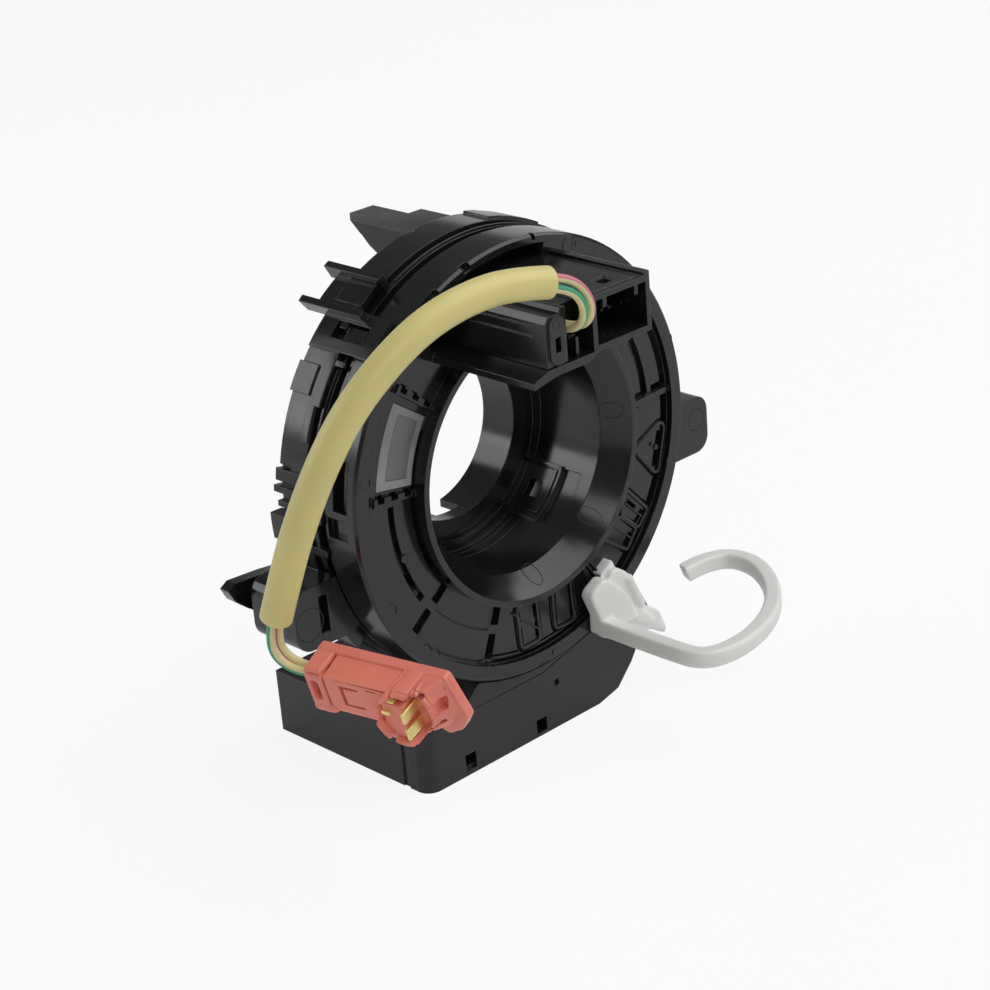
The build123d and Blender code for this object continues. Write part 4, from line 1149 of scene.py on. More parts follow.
@dataclass
class AirbagLead:
    """The two airbag wires and the sleeving over them, on one smooth route."""

    wire_d: float = 1.8
    wire_spread: float = 1.1
    sheath_d: float = 6.7
    sheath_bore: float = 5.3
    wire_lengths: tuple[float, float] = (140.2, 141.9)
    sheath_length: float = 100.6
    route: tuple[Point, ...] = (
        (-9.7, -22.1, 38.4), (-9.7, -26.6, 38.4), (-9.5, -30.4, 41.0), (-9.9, -31.0, 45.4),
        (-12.0, -29.2, 48.9), (-18.2, -27.4, 50.9), (-25.8, -26.0, 52.4), (-36.8, -25.4, 52.5),
        (-47.4, -24.4, 50.2), (-57.2, -22.8, 44.6), (-65.4, -20.0, 36.2), (-70.9, -16.6, 25.4),
        (-74.5, -12.6, 13.4), (-76.3, -8.4, 1.2), (-77.1, -4.9, -8.2), (-76.7, -4.3, -14.0),
        (-74.3, -7.3, -17.4), (-72.45, -11.6, -17.75),
    )
    sides: tuple[Point, ...] = (
        (1, 0, 0), (1, 0, 0), (1, 0, 0), (1, 0, 0.2), (0.7, 0, 0.7), (0.2, 0, 1), (0, 0.2, 1), (0, 0.5, 0.8),
        (0, 0.8, 0.5), (0, 1, 0), (0, 1, -0.3), (0.4, 0.9, 0), (0.8, 0.6, 0), (1, 0.2, 0), (1, 0, 0),
        (1, 0, 0), (1, 0, 0), (1, 0, 0),
    )

    def wire_route(self, side: float) -> np.ndarray:
        """Route of one wire: the common line moved square to its own run.

        Args:
            side: 1 for the red striped wire, -1 for the green striped one.

        Returns:
            Route points in millimetres.
        """
        centre = np.array(self.route)
        ends = np.concatenate([centre[:1], centre, centre[-1:]])
        run = unit(ends[2:] - ends[:-2])
        across = np.array(self.sides, float)
        across = unit(across - run * np.sum(across * run, axis=1, keepdims=True))
        return centre + across * side * self.wire_spread

    def sheath_route(self) -> np.ndarray:
        """Route of the sleeving: the middle of the common line."""
        centre = np.array(self.route)
        first = centre[4] * 0.2 + centre[5] * 0.8
        last = centre[13] * 0.24 + centre[14] * 0.76
        return np.concatenate([[first], centre[6:14], [last]])

    @staticmethod
    def line(route: np.ndarray, name: str) -> np.ndarray:
        """Points of the smooth line that a route controls.

        Args:
            route: control points in millimetres.
            name: name for the working curve.

        Returns:
            Points in millimetres, read from the curve.
        """
        curve = bpy.data.curves.new(name, "CURVE")
        curve.dimensions = "3D"
        curve.resolution_u = 14
        spline = curve.splines.new("NURBS")
        spline.points.add(len(route) - 1)
        spline.points.foreach_set("co", flat(route * MM, 1.0).ravel())
        spline.order_u = 3
        spline.use_endpoint_u = True
        holder = placed(name, curve)
        mesh = bpy.data.meshes.new_from_object(holder)
        points = np.empty(len(mesh.vertices) * 3)
        mesh.vertices.foreach_get("co", points)
        bpy.data.objects.remove(holder)
        bpy.data.curves.remove(curve)
        bpy.data.meshes.remove(mesh)
        points = points.reshape(-1, 3) / MM
        kept = np.concatenate([[True], np.linalg.norm(np.diff(points, axis=0), axis=1) > 1e-3])
        return points[kept]

    @staticmethod
    def tube(name: str, line: np.ndarray, sections: np.ndarray, around: int = 28) -> Thing:
        """Round tube along a line: line + radius (cos t * side + sin t * up), the side direction
        carried without twist from one point to the next. Its map holds run length and turn.

        Args:
            name: name of the piece.
            line: points of the centre line.
            sections: start of each ring, as a share of a point's index, with its radius.
            around: points around.

        Returns:
            The new object.
        """
        run = unit(np.gradient(line, axis=0))
        side = np.empty_like(line)
        side[0] = np.cross(run[0], (0.3, 0.2, 1.0))
        for index in range(1, len(line)):
            side[index] = side[index - 1] - run[index] * np.dot(side[index - 1], run[index])
        side = unit(side)
        up = np.cross(run, side)
        index, radius = sections[:, 0], sections[:, 1]
        places = np.arange(len(line))
        middle, side, up = (
            np.stack([np.interp(index, places, values[:, axis]) for axis in range(3)], axis=1)[:, None]
            for values in (line, side, up))
        turn = np.linspace(0.0, 2 * math.pi, around, endpoint=False)[None, :, None]
        rings = middle + radius[:, None, None] * (np.cos(turn) * side + np.sin(turn) * up)
        points, faces = skin(rings)
        moulding = Moulding()
        moulding.points, moulding.faces = [points], faces
        thing = moulding.build(name, 50.0)
        mesh = thing.data
        reach = np.concatenate([[0.0], np.cumsum(np.linalg.norm(np.diff(line, axis=0), axis=1))])
        along = np.interp(index, places, reach) * MM
        vertex = np.empty(len(mesh.loops), np.int64)
        mesh.loops.foreach_get("vertex_index", vertex)
        ring, column = vertex // around, vertex % around
        layer = mesh.uv_layers.new(name="run")
        starts = np.empty(len(mesh.polygons), np.int64)
        totals = np.empty(len(mesh.polygons), np.int64)
        mesh.polygons.foreach_get("loop_start", starts)
        mesh.polygons.foreach_get("loop_total", totals)
        owner = np.repeat(np.arange(len(starts)), totals)
        seam = np.zeros(len(starts), bool)
        np.logical_or.at(seam, owner, column == around - 1)
        turned = column / around + (seam[owner] & (column == 0) & (totals[owner] == 4))
        layer.data.foreach_set("uv", np.column_stack([along[ring], turned]).ravel())
        return thing

    def build(self, book: FinishBook, plug: list[Thing]) -> None:
        """Args:
            book: finishes.
            plug: pieces of the plug at the far end; not used.
        """
        for side, name, node, slot, length in (
                (-1.0, "green_striped_wire", "lead_wire_green", Slot.GREEN, self.wire_lengths[0]),
                (1.0, "red_striped_wire", "lead_wire_red", Slot.RED, self.wire_lengths[1])):
            line = self.line(self.wire_route(side), name + "_line")
            sections = np.column_stack([np.arange(len(line)), np.full(len(line), self.wire_d / 2)])
            wire = self.tube(name, line, sections, 20)
            self.declare(wire, node, slot, book, line, length, self.wire_d, plug)
        line = self.line(self.sheath_route(), "sleeving_line")
        last = len(line) - 1
        outer, bore, lip, step = self.sheath_d / 2, self.sheath_bore / 2, 0.12, 0.05
        start = [(1.4, bore), (step, bore), (0.0, bore + lip), (0.0, outer - lip), (step, outer - 0.03),
                 (3 * step, outer)]
        middle = [(float(index), outer) for index in range(1, last)]
        end = [(last - place, radius) for place, radius in start[::-1]]
        sheath = self.tube("yellow_sleeving", line, np.array(start + middle + end), 44)
        self.declare(sheath, "lead_sheath", Slot.SHEATH, book, line, self.sheath_length, self.sheath_d, ())

    @staticmethod
    def declare(piece: Thing, node: str, slot: Slot, book: FinishBook, line: np.ndarray,
                length: float, diameter: float, plug: Sequence[Thing]) -> None:
        """Put a cord on the rotor with its finish, in place of its solid.

        Args:
            piece: the cord's mesh.
            node: solid that it stands for.
            slot: material slot.
            book: finishes.
            line: points that it follows; not used.
            length: its real length in millimetres; not used.
            diameter: its real diameter in millimetres; not used.
            plug: pieces on its far end; not used.
        """
        seat(piece, Body.ROTOR, slot, book, node)


@dataclass
class RotorFace:
    """Grooves, slots, frames and pin marks of the rotor's face, and the thin plate by its pocket."""

    field_y: float = 1.6
    disc_back: float = 3.9
    bore: float = 26.7
    past_rim: float = 51.0
    cone_r: Spot = (26.7, 31.1)
    cone_depth: Spot = (4.0, -2.0)
    hook_turn: Spot = (3.4, 5.6)
    step_plate: tuple[float, ...] = (43.5, 48.9, 55.0, 79.0, 30)
    step_mark: Spot = (16.9, 44.3)
    arm_angles: tuple[float, ...] = (-43.0, 77.0, 197.0)
    arm_frame: tuple[tuple[float, ...], ...] = (
        (-16.4, 14.6, 13.3, 14.1), (-16.4, -14.8, 13.6, 23.6), (13.0, 14.6, 13.6, 23.6),
    )
    hooks: tuple[Spot, ...] = ((34.4, 39.6), (41.4, 46.2))
    deep_slots: tuple[tuple[tuple[Spot, ...], float], ...] = (
        (((43.3, -7.6), (41.0, -15.7)), 1.8), (((36.0, -24.9), (33.2, -27.4)), 1.1),
        (((32.0, -29.4), (29.6, -31.8)), 2.0), (((31.0, -20.6), (33.9, -23.6)), 0.9),
        (((11.1, -34.2), (11.2, -42.4)), 1.0), (((6.1, -34.2), (6.1, -42.6)), 0.9),
        (((-0.3, -34.4), (0.0, -38.0)), 1.2), (((-0.1, -39.4), (-0.1, -43.0)), 0.9),
        (((-5.4, -35.0), (-5.1, -37.6)), 0.9), (((-5.0, -39.0), (-4.8, -43.3)), 0.9),
        (((15.9, -31.6), (19.6, -37.6)), 1.5), (((16.2, -38.4), (17.8, -38.6)), 2.6),
    )
    grooves: tuple[tuple[float, ...], ...] = (
        (44.3, 44.8, 251.5, 294.0, 40, 1.4), (45.35, 46.3, 251.5, 294.0, 40, 1.4),
        (38.3, 38.3 + 0.34, 220.5, 247.5, 24, 0.35), (45.5, 45.5 + 0.34, 228.0, 247.5, 24, 0.35),
        (33.2, 38.2, 220.6, 247.4, 24, 0.10),
    )
    skirt_recesses: tuple[tuple[float, ...], ...] = (
        (47.3, 162.4, 175.4, 20, -6.9, -2.5), (48.6, 177.2, 182.5, 12, -8.9, -2.9),
    )
    rim_dashes: tuple[tuple[Spot, ...], ...] = (((3.1, -46.9), (2.5, -48.4)), ((1.4, -49.2), (-1.9, -49.3)))
    lip_steps: tuple[Point, ...] = ((115.6, 123.0, 48.75), (104.4, 107.0, 48.6), (82.0, 83.2, 48.7))
    ribs: tuple[tuple[tuple[Spot, ...], float, float], ...] = (
        (((35.0, 1.55), (46.2, 1.9)), 0.8, 0.75), (((14.9, -30.7), (20.2, -39.2)), 0.5, 0.7),
        (((17.1, -30.2), (22.2, -38.0)), 0.5, 0.7), (((-7.4, -34.4), (1.2, -42.0)), 0.45, 0.5),
        (((30.4, -21.2), (35.6, -26.4)), 0.45, 0.5), (((26.0, -25.2), (31.4, -30.2)), 0.45, 0.45),
    )
    nubs: tuple[Point, ...] = (
        (38.0, 195.4, 0.95), (37.2, 1.2, 1.0), (43.2, -15.0, 0.7), (41.6, -14.0, 0.5), (36.9, -15.0, 0.6),
        (44.9, 140.6, 0.6),
    )
    cover_marks: tuple[Spot, ...] = ((-16.1, 41.4), (-15.5, 32.1))
    bore_lines: tuple[tuple[float, ...], ...] = ((-112, -60, 40, 18.3), (120, 300, 90, 21.0))
    pin_marks: tuple[Point, ...] = (
        (47.6, 70.0, 1.6), (48.0, 17.0, 1.5), (47.5, -18.5, 1.3), (47.7, 318.0, 1.3), (46.9, 204.5, 1.5),
        (46.8, 227.0, 1.5), (47.2, 250.0, 1.5), (47.4, 167.0, 1.4),
    )
    cone_marks: tuple[Spot, ...] = ((28.2, 4.5), (28.2, 313.0), (27.9, 271.0))

    @property
    def frame_groove(self) -> np.ndarray:
        """Section of the groove around each frame."""
        return box_outline(-0.25, 0.25, -0.9, 0.9)

    def frames(self) -> dict[str, np.ndarray]:
        """Outlines of the plain moulded frames in the field, by name."""
        return {
            "loop_right": rounded([(5.3, -33.3), (11.2, -33.1), (11.8, -43.4), (5.4, -43.4)], 1.3, 4),
            "loop_left": rounded([(-6.0, -33.4), (0.2, -33.4), (0.6, -44.0), (-5.4, -44.2)], 1.3, 4),
            "wedge": rounded([(34.4, -9.4), (43.4, -5.4), (44.9, -6.6), (42.0, -17.3), (40.6, -17.0)],
                             [1.4, 1.0, 1.0, 1.0, 1.0], 4),
            "gate": rounded([(30.6, -17.6), (37.8, -25.2), (34.2, -28.8), (28.9, -23.4)], 0.9, 4),
            "tray": rounded([(24.2, -23.6), (28.4, -23.8), (33.6, -28.5), (30.2, -32.8), (22.8, -27.6)],
                            0.8, 4),
        }

    def cutters(self) -> list[Moulding]:
        """Everything that is taken out of the moulding's face.

        Returns:
            Closed shapes.
        """
        deep, back = -self.disc_back, -self.field_y
        slots = [prism(ring_part(inner, outer, *self.hook_turn, 6), deep, 1.0) for inner, outer in self.hooks]
        slots += [prism(strip(dense(line, 3.0), width), deep, 1.0) for line, width in self.deep_slots]
        slots += [prism(ring_part(inner, outer, start, end, steps), back - depth, 1.0)
                  for inner, outer, start, end, steps, depth in self.grooves]
        for outline in self.frames().values():
            slots.append(bead(inset(outline, -0.75), back, self.frame_groove, closed=True))
        slots += [prism(ring_part(inner, self.past_rim, start, end, steps), low, high)
                  for inner, start, end, steps, low, high in self.skirt_recesses]
        for angle in self.arm_angles:
            recess = ring_part(self.bore - 1.0, self.bore + 0.7, angle - 15.2, angle + 13.6, 24)
            slots.append(prism(recess, -13.2, -7.7))
        slots += [prism(strip(dense(line, 3.0), 0.4), -0.5, 1.0) for line in self.rim_dashes]
        slots += [prism(ring_part(inner, self.past_rim, start, end, 12), -1.5, 1.5)
                  for start, end, inner in self.lip_steps]
        return [Moulding().add(slot) for slot in slots]

    def raised(self) -> Moulding:
        """Everything that stands a little proud of the face: frames, ribs, nubs and pin marks.

        Returns:
            The collected shapes.
        """
        proud = Moulding()
        back = -self.field_y
        for outline in self.frames().values():
            proud.add(bead(outline, back, rib_profile(0.85, 0.55, 0.2), closed=True))
        for line, width, height in self.ribs:
            proud.add(bead(dense(line, 3.0), back, rib_profile(width, height, 0.15)))
        for radius, angle, size in self.nubs:
            proud.add(plate(arc(size, 0, 350, 20) + spot(radius, angle), back - 0.4, back + 0.35, 0.15))
        proud.add(plate(ring_part(*self.step_plate), -1.75, -0.03, 0.05))
        proud.add(witness(self.step_mark, 1.9, 0.0, 0.3, 0.14))
        for place in self.cover_marks:
            proud.add(witness(place, 0.95, 28.0, 0.2, 0.1))
        for angle in self.arm_angles:
            for start, end, near, far in self.arm_frame:
                around = ring_part(self.bore - 0.55, self.bore + 0.3, angle + start, angle + end, 20)
                proud.add(prism(around, -far, -near))
        for start, end, steps, depth in self.bore_lines:
            turn = arc(self.bore, start, end, steps)
            proud.add(carried(flat(turn, -depth), rib_profile(0.3, 0.16, 0.05), flat(-turn)))
        for radius, angle in self.cone_marks:
            self.cone_mark(proud, radius, angle)
        for radius, angle, size in self.pin_marks:
            proud.add(witness(spot(radius, angle), size))
        return proud

    def cone_mark(self, proud: Moulding, radius: float, angle: float) -> None:
        """Add the ring that an ejector pin left on the funnel: a circle laid on the cone, whose
        depth at each point follows from its distance to the bore's axis.

        Args:
            proud: collector for the shape.
            radius: distance of the mark's middle from the axis.
            angle: its angle in degrees.
        """
        circle = arc(1.9, 0.0, 352.0, 44) + spot(radius, angle)
        reach = np.linalg.norm(circle, axis=1)
        depth = np.interp(reach, self.cone_r, self.cone_depth)
        normal = np.column_stack([-circle / reach[:, None] * 6.0, np.full(len(circle), 4.4)])
        proud.add(carried(np.column_stack([circle, -depth]), rib_profile(0.2, 0.1, 0.05), normal, closed=True))

    def build(self, book: FinishBook, node: Thing) -> None:
        """Make the carved rotor and its raised details.

        Args:
            book: finishes.
            node: the CAD rotor.
        """
        carved = carve("rotor_moulding", node, self.cutters())
        seat(carved, Body.ROTOR, Slot.SATIN, book, "rotor")
        seat(self.raised().build("rotor_face_details"), Body.ROTOR, Slot.SATIN, book)


@dataclass
class TransportLock:
    """Translucent clip on the rim and its curled pull strap."""

    strap_w: float = 3.9
    strap_h: float = 4.3
    strap_z: float = -45.5
    key_angle: float = -58.0
    key_r: float = 40.0
    slant_points: int = 9
    dish: float = 0.22
    voxel: float = 0.00028
    route: tuple[Spot, ...] = (
        (16.6, -0.6), (16.3, -26.0), (17.6, -32.4), (23.5, -34.6), (33.0, -34.0), (44.5, -29.6), (54.5, -21.5),
        (61.5, -11.0), (61.6, -2.6), (56.5, 0.4), (51.0, 0.9), (46.9, 0.5),
    )

    def strap(self) -> Shape:
        """Strap along its line: the section has round shoulders and a hollow upper face, and it narrows a
        little along a quarter circle at the free end.

        Returns:
            Points and faces.
        """
        line = AirbagLead.line(np.array([(x, y, self.strap_z) for x, y in self.route]), "strap_line")
        line = dense(line, 0.7)
        half, tall = self.strap_w / 2, self.strap_h / 2
        corner = rounded(box_outline(-half, half, -tall, tall), 1.15, 6)
        dish = self.dish * np.clip(1.0 - (corner[:, 0] / (half - 0.6)) ** 2, 0.0, 1.0) * (corner[:, 1] > 0.5)
        section = corner - np.column_stack([np.zeros(len(corner)), dish])
        run = unit(np.gradient(line, axis=0))
        up = np.array(OUTWARD)
        side = np.cross(run, up)
        last = len(line) - 1
        turn = np.linspace(0.0, math.pi / 2, 5)
        index = np.concatenate([np.arange(last), np.full(5, last)])
        shift = np.concatenate([np.zeros(last), 0.5 * np.sin(turn)])
        slim = np.concatenate([np.ones(last), 1.0 - 0.16 * (1.0 - np.cos(turn))])
        middle = line[index] + run[index] * shift[:, None]
        across = side[index][:, None] * section[None, :, :1] + up * section[None, :, 1:]
        rings = middle[:, None] + across * slim[:, None, None]
        # the free end is cut at a slant: its lower and far corners end earlier
        from_end = np.arange(len(index)) - last + self.slant_points
        near_end = np.clip(from_end / self.slant_points, 0.0, 1.0) ** 2
        slant = 0.42 * (tall - section[:, 1]) + 0.5 * (half + section[:, 0])
        rings = rings - run[index][:, None] * (near_end[:, None] * slant[None])[:, :, None]
        return skin(rings)

    def clip(self) -> list[Shape]:
        """Hook over the rim, thumb plate, its ridge and the foot that meets the strap.

        Returns:
            Shapes on the rotor's face.
        """
        hook = rounded(
            [(14.7, -47.6), (14.7, -43.2), (12.1, -36.9), (12.9, -35.7), (16.6, -33.7), (18.9, -34.9),
             (24.4, -40.4), (27.4, -47.6)], [0.8, 1.2, 0.9, 0.8, 1.0, 1.6, 3.0, 1.0], 6)
        thumb = rounded(
            [(14.9, -47.6), (14.9, -43.4), (20.2, -34.4), (21.6, -33.5), (23.1, -33.8), (25.6, -35.5),
             (26.8, -37.3), (28.3, -40.8), (30.6, -45.8), (34.8, -48.6), (35.9, -49.6), (37.9, -54.4),
             (37.4, -56.0), (31.2, -52.2), (25.0, -47.6)],
            [0.8, 1.0, 1.2, 0.9, 0.8, 1.0, 1.2, 1.6, 1.6, 0.9, 1.2, 0.8, 0.9, 2.5, 1.5], 6)
        ridge = dense([(25.6, -36.6), (27.4, -40.6), (29.6, -45.4)], 0.6)
        brace = dense([(15.2, -44.6), (21.0, -45.2), (27.0, -46.6), (33.0, -50.8)], 0.6)
        swell = np.interp(np.linspace(0, 1, len(brace)), [0, 0.3, 0.8, 1], [0.9, 1.3, 1.2, 0.5])
        return [
            plate(hook, 0.6, 4.3, 0.7), plate(thumb, 0.12, 2.7, 0.6),
            bead(ridge, 2.5, rib_profile(1.7, 1.3, 0.6)), prism(strip(brace, 2.4 * swell), 0.3, 3.3),
            plate(rounded([(16.0, -45.0), (30.0, -46.2), (35.0, -51.6), (31.0, -53.0), (17.0, -49.4)], 0.9),
                  0.15, 2.9, 0.6),
        ]

    def build(self, book: FinishBook) -> None:
        """Join the shapes and the key through the rotor into one moulding, smooth where they meet.

        Args:
            book: finishes.
        """
        lock = Moulding()
        lock.add(self.strap(), Frame(out=OUTWARD))
        for shape in self.clip():
            lock.add(shape)
        key = rounded(box_outline(-0.8, 0.8, -2.2, 2.2), 0.2, 3)
        across, up = spot(1.0, self.key_angle)
        spin = np.array([(across, up), (-up, across)])
        lock.add(prism(key @ spin + spot(self.key_r, self.key_angle), -3.2, 1.0))
        thing = lock.build("natural_transport_lock", 60.0)
        for kind, settings in (
                ("REMESH", {"mode": "VOXEL", "voxel_size": self.voxel, "use_smooth_shade": True}),
                ("SMOOTH", {"factor": 0.5, "iterations": 6})):
            step = thing.modifiers.new(kind.lower(), kind)
            for name, value in settings.items():
                setattr(step, name, value)
        mesh = bpy.data.meshes.new_from_object(thing.evaluated_get(bpy.context.evaluated_depsgraph_get()))
        thing.modifiers.clear()
        old, thing.data = thing.data, mesh
        bpy.data.meshes.remove(old)
        mesh.shade_smooth()
        seat(thing, Body.LOCK, Slot.LOCK, book, "transport_lock")


NODE_SLOTS: dict[str, Slot] = {
    "rotor": Slot.SATIN, "terminal_cover": Slot.SATIN, "lead_terminal_holder": Slot.SATIN,
    "lead_terminals": Slot.TIN, "switch_pin_carrier": Slot.INSULATOR, "switch_pins": Slot.TIN,
    "hub_end_block": Slot.INSULATOR, "inspection_window": Slot.WINDOW, "inner_sleeve": Slot.SATIN,
    "cancel_cam": Slot.CAM, "flat_cable": Slot.RIBBON, "slip_sheet_front": Slot.SLIP,
    "lead_wire_green": Slot.GREEN, "lead_wire_red": Slot.RED, "lead_sheath": Slot.SHEATH,
    "airbag_plug_housing": Slot.PLUG, "airbag_plug_cover": Slot.PLUG, "airbag_plug_latch": Slot.PLUG,
    "airbag_plug_contacts": Slot.BRASS, "stator_case": Slot.SATIN, "rear_case": Slot.SATIN,
    "slip_sheet_rear": Slot.SLIP, "case_end_block": Slot.INSULATOR, "busbar_plate": Slot.INSULATOR,
    "block_front_cover": Slot.SATIN, "vehicle_pins": Slot.TIN, "transport_lock": Slot.LOCK,
}


@dataclass(frozen=True)
class WindowPanel:
    """Smooth panel in the middle of the frosted window."""

    inner: float = 34.6
    outer: float = 40.4
    start: float = 147.6
    end: float = 167.8
    depth: float = 0.2
    proud: float = 0.1

    def build(self, book: FinishBook, window: Thing) -> None:
        """Build the panel and lay it in the window's face.

        Args:
            book: finishes.
            window: the CAD window, whose front the panel follows.
        """
        front = -min(corner[1] for corner in window.bound_box) / MM
        sector = ring_part(self.inner, self.outer, self.start, self.end, 30)
        panel = Moulding().add(plate(sector, front - self.depth, front + self.proud, 0.1)).build("window_panel")
        seat(panel, Body.ROTOR, Slot.WINDOW, book)
        book.dress(panel, Slot.PANEL)


@dataclass(frozen=True)
class CaseTrim:
    """Latch frame, ledges, ear marks and the seam of the connector block, all on the column's side."""

    ear_front: float = 10.0
    rim: float = 50.0
    windows: tuple[Spot, ...] = ((-23.6, -64.0), (-1.3, -65.0))
    window_half: float = 1.65
    cover_tip: tuple[Spot, ...] = ((31.4, -41.0), (42.0, -41.0), (42.0, -53.0), (36.6, -51.2))
    frame_parts: tuple[tuple[float, ...], ...] = (
        (0.65, 1.35, 131.8, 136.2, 8.6, 14.2), (0.45, 2.3, 131.4, 133.0, 13.9, 15.8),
        (-0.25, 1.05, 138.4, 152.0, 13.6, 16.0), (-0.15, 0.95, 140.2, 141.6, 10.6, 13.8),
        (0.65, 2.15, 120.3, 126.6, 14.2, 22.0), (0.65, 2.2, 127.0, 128.6, 12.8, 15.2),
    )
    steps: tuple[tuple[float, ...], ...] = (
        (49.4, 51.4, 168.6, 171.6, 15.6, 23.6), (49.4, 52.4, 172.4, 174.0, 15.4, 23.0),
        (49.4, 52.2, 176.0, 177.4, 15.2, 22.0), (49.4, 50.9, 177.4, 179.6, 9.9, 15.2),
        (49.4, 50.9, 186.2, 188.4, 9.8, 15.2), (49.4, 50.5, 179.6, 186.2, 12.0, 13.0),
        (48.4, 51.0, 62.0, 76.6, 16.2, 23.8), (49.4, 53.4, 203.0, 217.0, 12.4, 24.0),
        (49.4, 51.2, 196.0, 203.0, 11.6, 15.2), (49.4, 50.8, 150.0, 161.0, 15.2, 17.4),
    )
    lines: tuple[Point, ...] = ((49.75, 13.2, 0.35), (49.6, 17.9, 0.3))
    line_turns: tuple[Spot, ...] = ((142.0, 167.0), (60.0, 116.0))
    ear_marks: tuple[Point, ...] = ((-56.8, -20.1, 3.7), (-52.6, -24.2, 1.0), (65.0, -14.0, 2.6))

    def latch_frame(self) -> Moulding:
        """Frame that reaches forward over the rotor's edge, with its window, nub and turned foot.

        Returns:
            The moulding.
        """
        frame = Moulding()
        for inner, outer, start, end, near, far in self.frame_parts:
            outline = ring_part(self.rim + inner, self.rim + outer, start, end, 16)
            frame.add(plate(outline, -far, -near, 0.2))
        return frame

    def rear_cuts(self) -> list[Moulding]:
        """Cutters for the rear case: the latch frame's window and the slanting underside of the post.

        Returns:
            Closed shapes.
        """
        window = Moulding().add(prism(ring_part(49.2, 54.0, 131.2, 135.6, 12), -17.4, -7.4))
        near = [(45.4, 49.7), (43.9, 47.6), (42.2, 46.1), (39.4, 44.7), (38.8, 43.9), (37.2, 42.6),
                (33.0, 40.8), (33.0, 36.0), (48.0, 36.0), (48.0, 49.7)]
        far = [(41.1, 50.4), (39.6, 49.3), (37.8, 47.8), (35.1, 46.4), (34.5, 45.6), (32.9, 44.3),
               (28.5, 42.4), (28.5, 36.0), (48.0, 36.0), (48.0, 50.4)]
        rings = [np.array([(x, z, -y) for y, z in side])
                 for x, side in ((-5.4, near), (-9.4, far), (-12.0, far))]
        return [window, Moulding().add(skin(np.stack(rings)))]

    def ledges(self) -> Moulding:
        """Steps, clips and gussets of the case between the latch frame and the connector block.

        Returns:
            The moulding.
        """
        ledges = Moulding()
        for inner, outer, start, end, near, far in self.steps:
            ledges.add(plate(ring_part(inner, outer, start, end, 20), -far, -near, 0.25))
        for radius, near, height in self.lines:
            for start, end in self.line_turns:
                turn = arc(radius, start, end, 60)
                ledges.add(carried(flat(turn, -near), rib_profile(0.55, height, 0.15), flat(turn)))
        return ledges

    def marks(self) -> Moulding:
        """Rings left by ejector pins on the ears.

        Returns:
            The moulding.
        """
        marks = Moulding()
        for x, z, size in self.ear_marks:
            marks.add(witness((x, z), size, -self.ear_front, 0.2, 0.1))
        return marks

    def neck(self) -> Moulding:
        """Strip of the connector block's cover that follows the rotor's rim, with a seam's distance.

        Returns:
            The moulding.
        """
        outline = np.concatenate([
            arc(50.45, -66.0, -112.0, 40), [(-19.6, -46.9), (-25.4, -52.2), (0.2, -52.3), (20.4, -47.3)]])
        return Moulding().add(prism(outline, -14.0, -1.0))

    def build(self, book: FinishBook, nodes: dict[str, Thing]) -> None:
        """Make the trim and the block's cover with its deep windows.

        Args:
            book: finishes.
            nodes: the CAD nodes by name.
        """
        for name, trim in (("latch_frame", self.latch_frame()), ("case_ledges", self.ledges()),
                           ("ear_marks", self.marks()), ("block_neck", self.neck())):
            seat(trim.build(name), Body.STATOR, Slot.SATIN, book)
        half = self.window_half
        cuts = [Moulding().add(prism(box_outline(x - half, x + half, z - half, z + half), -5.0, 0.0))
                for x, z in self.windows]
        cuts.append(Moulding().add(prism(np.array(self.cover_tip), -30.0, 0.0)))
        for name, node, cutters in (("rear_moulding", "rear_case", self.rear_cuts()),
                                    ("block_cover", "block_front_cover", cuts)):
            seat(carve(name, nodes[node], cutters), Body.STATOR, Slot.SATIN, book, node)


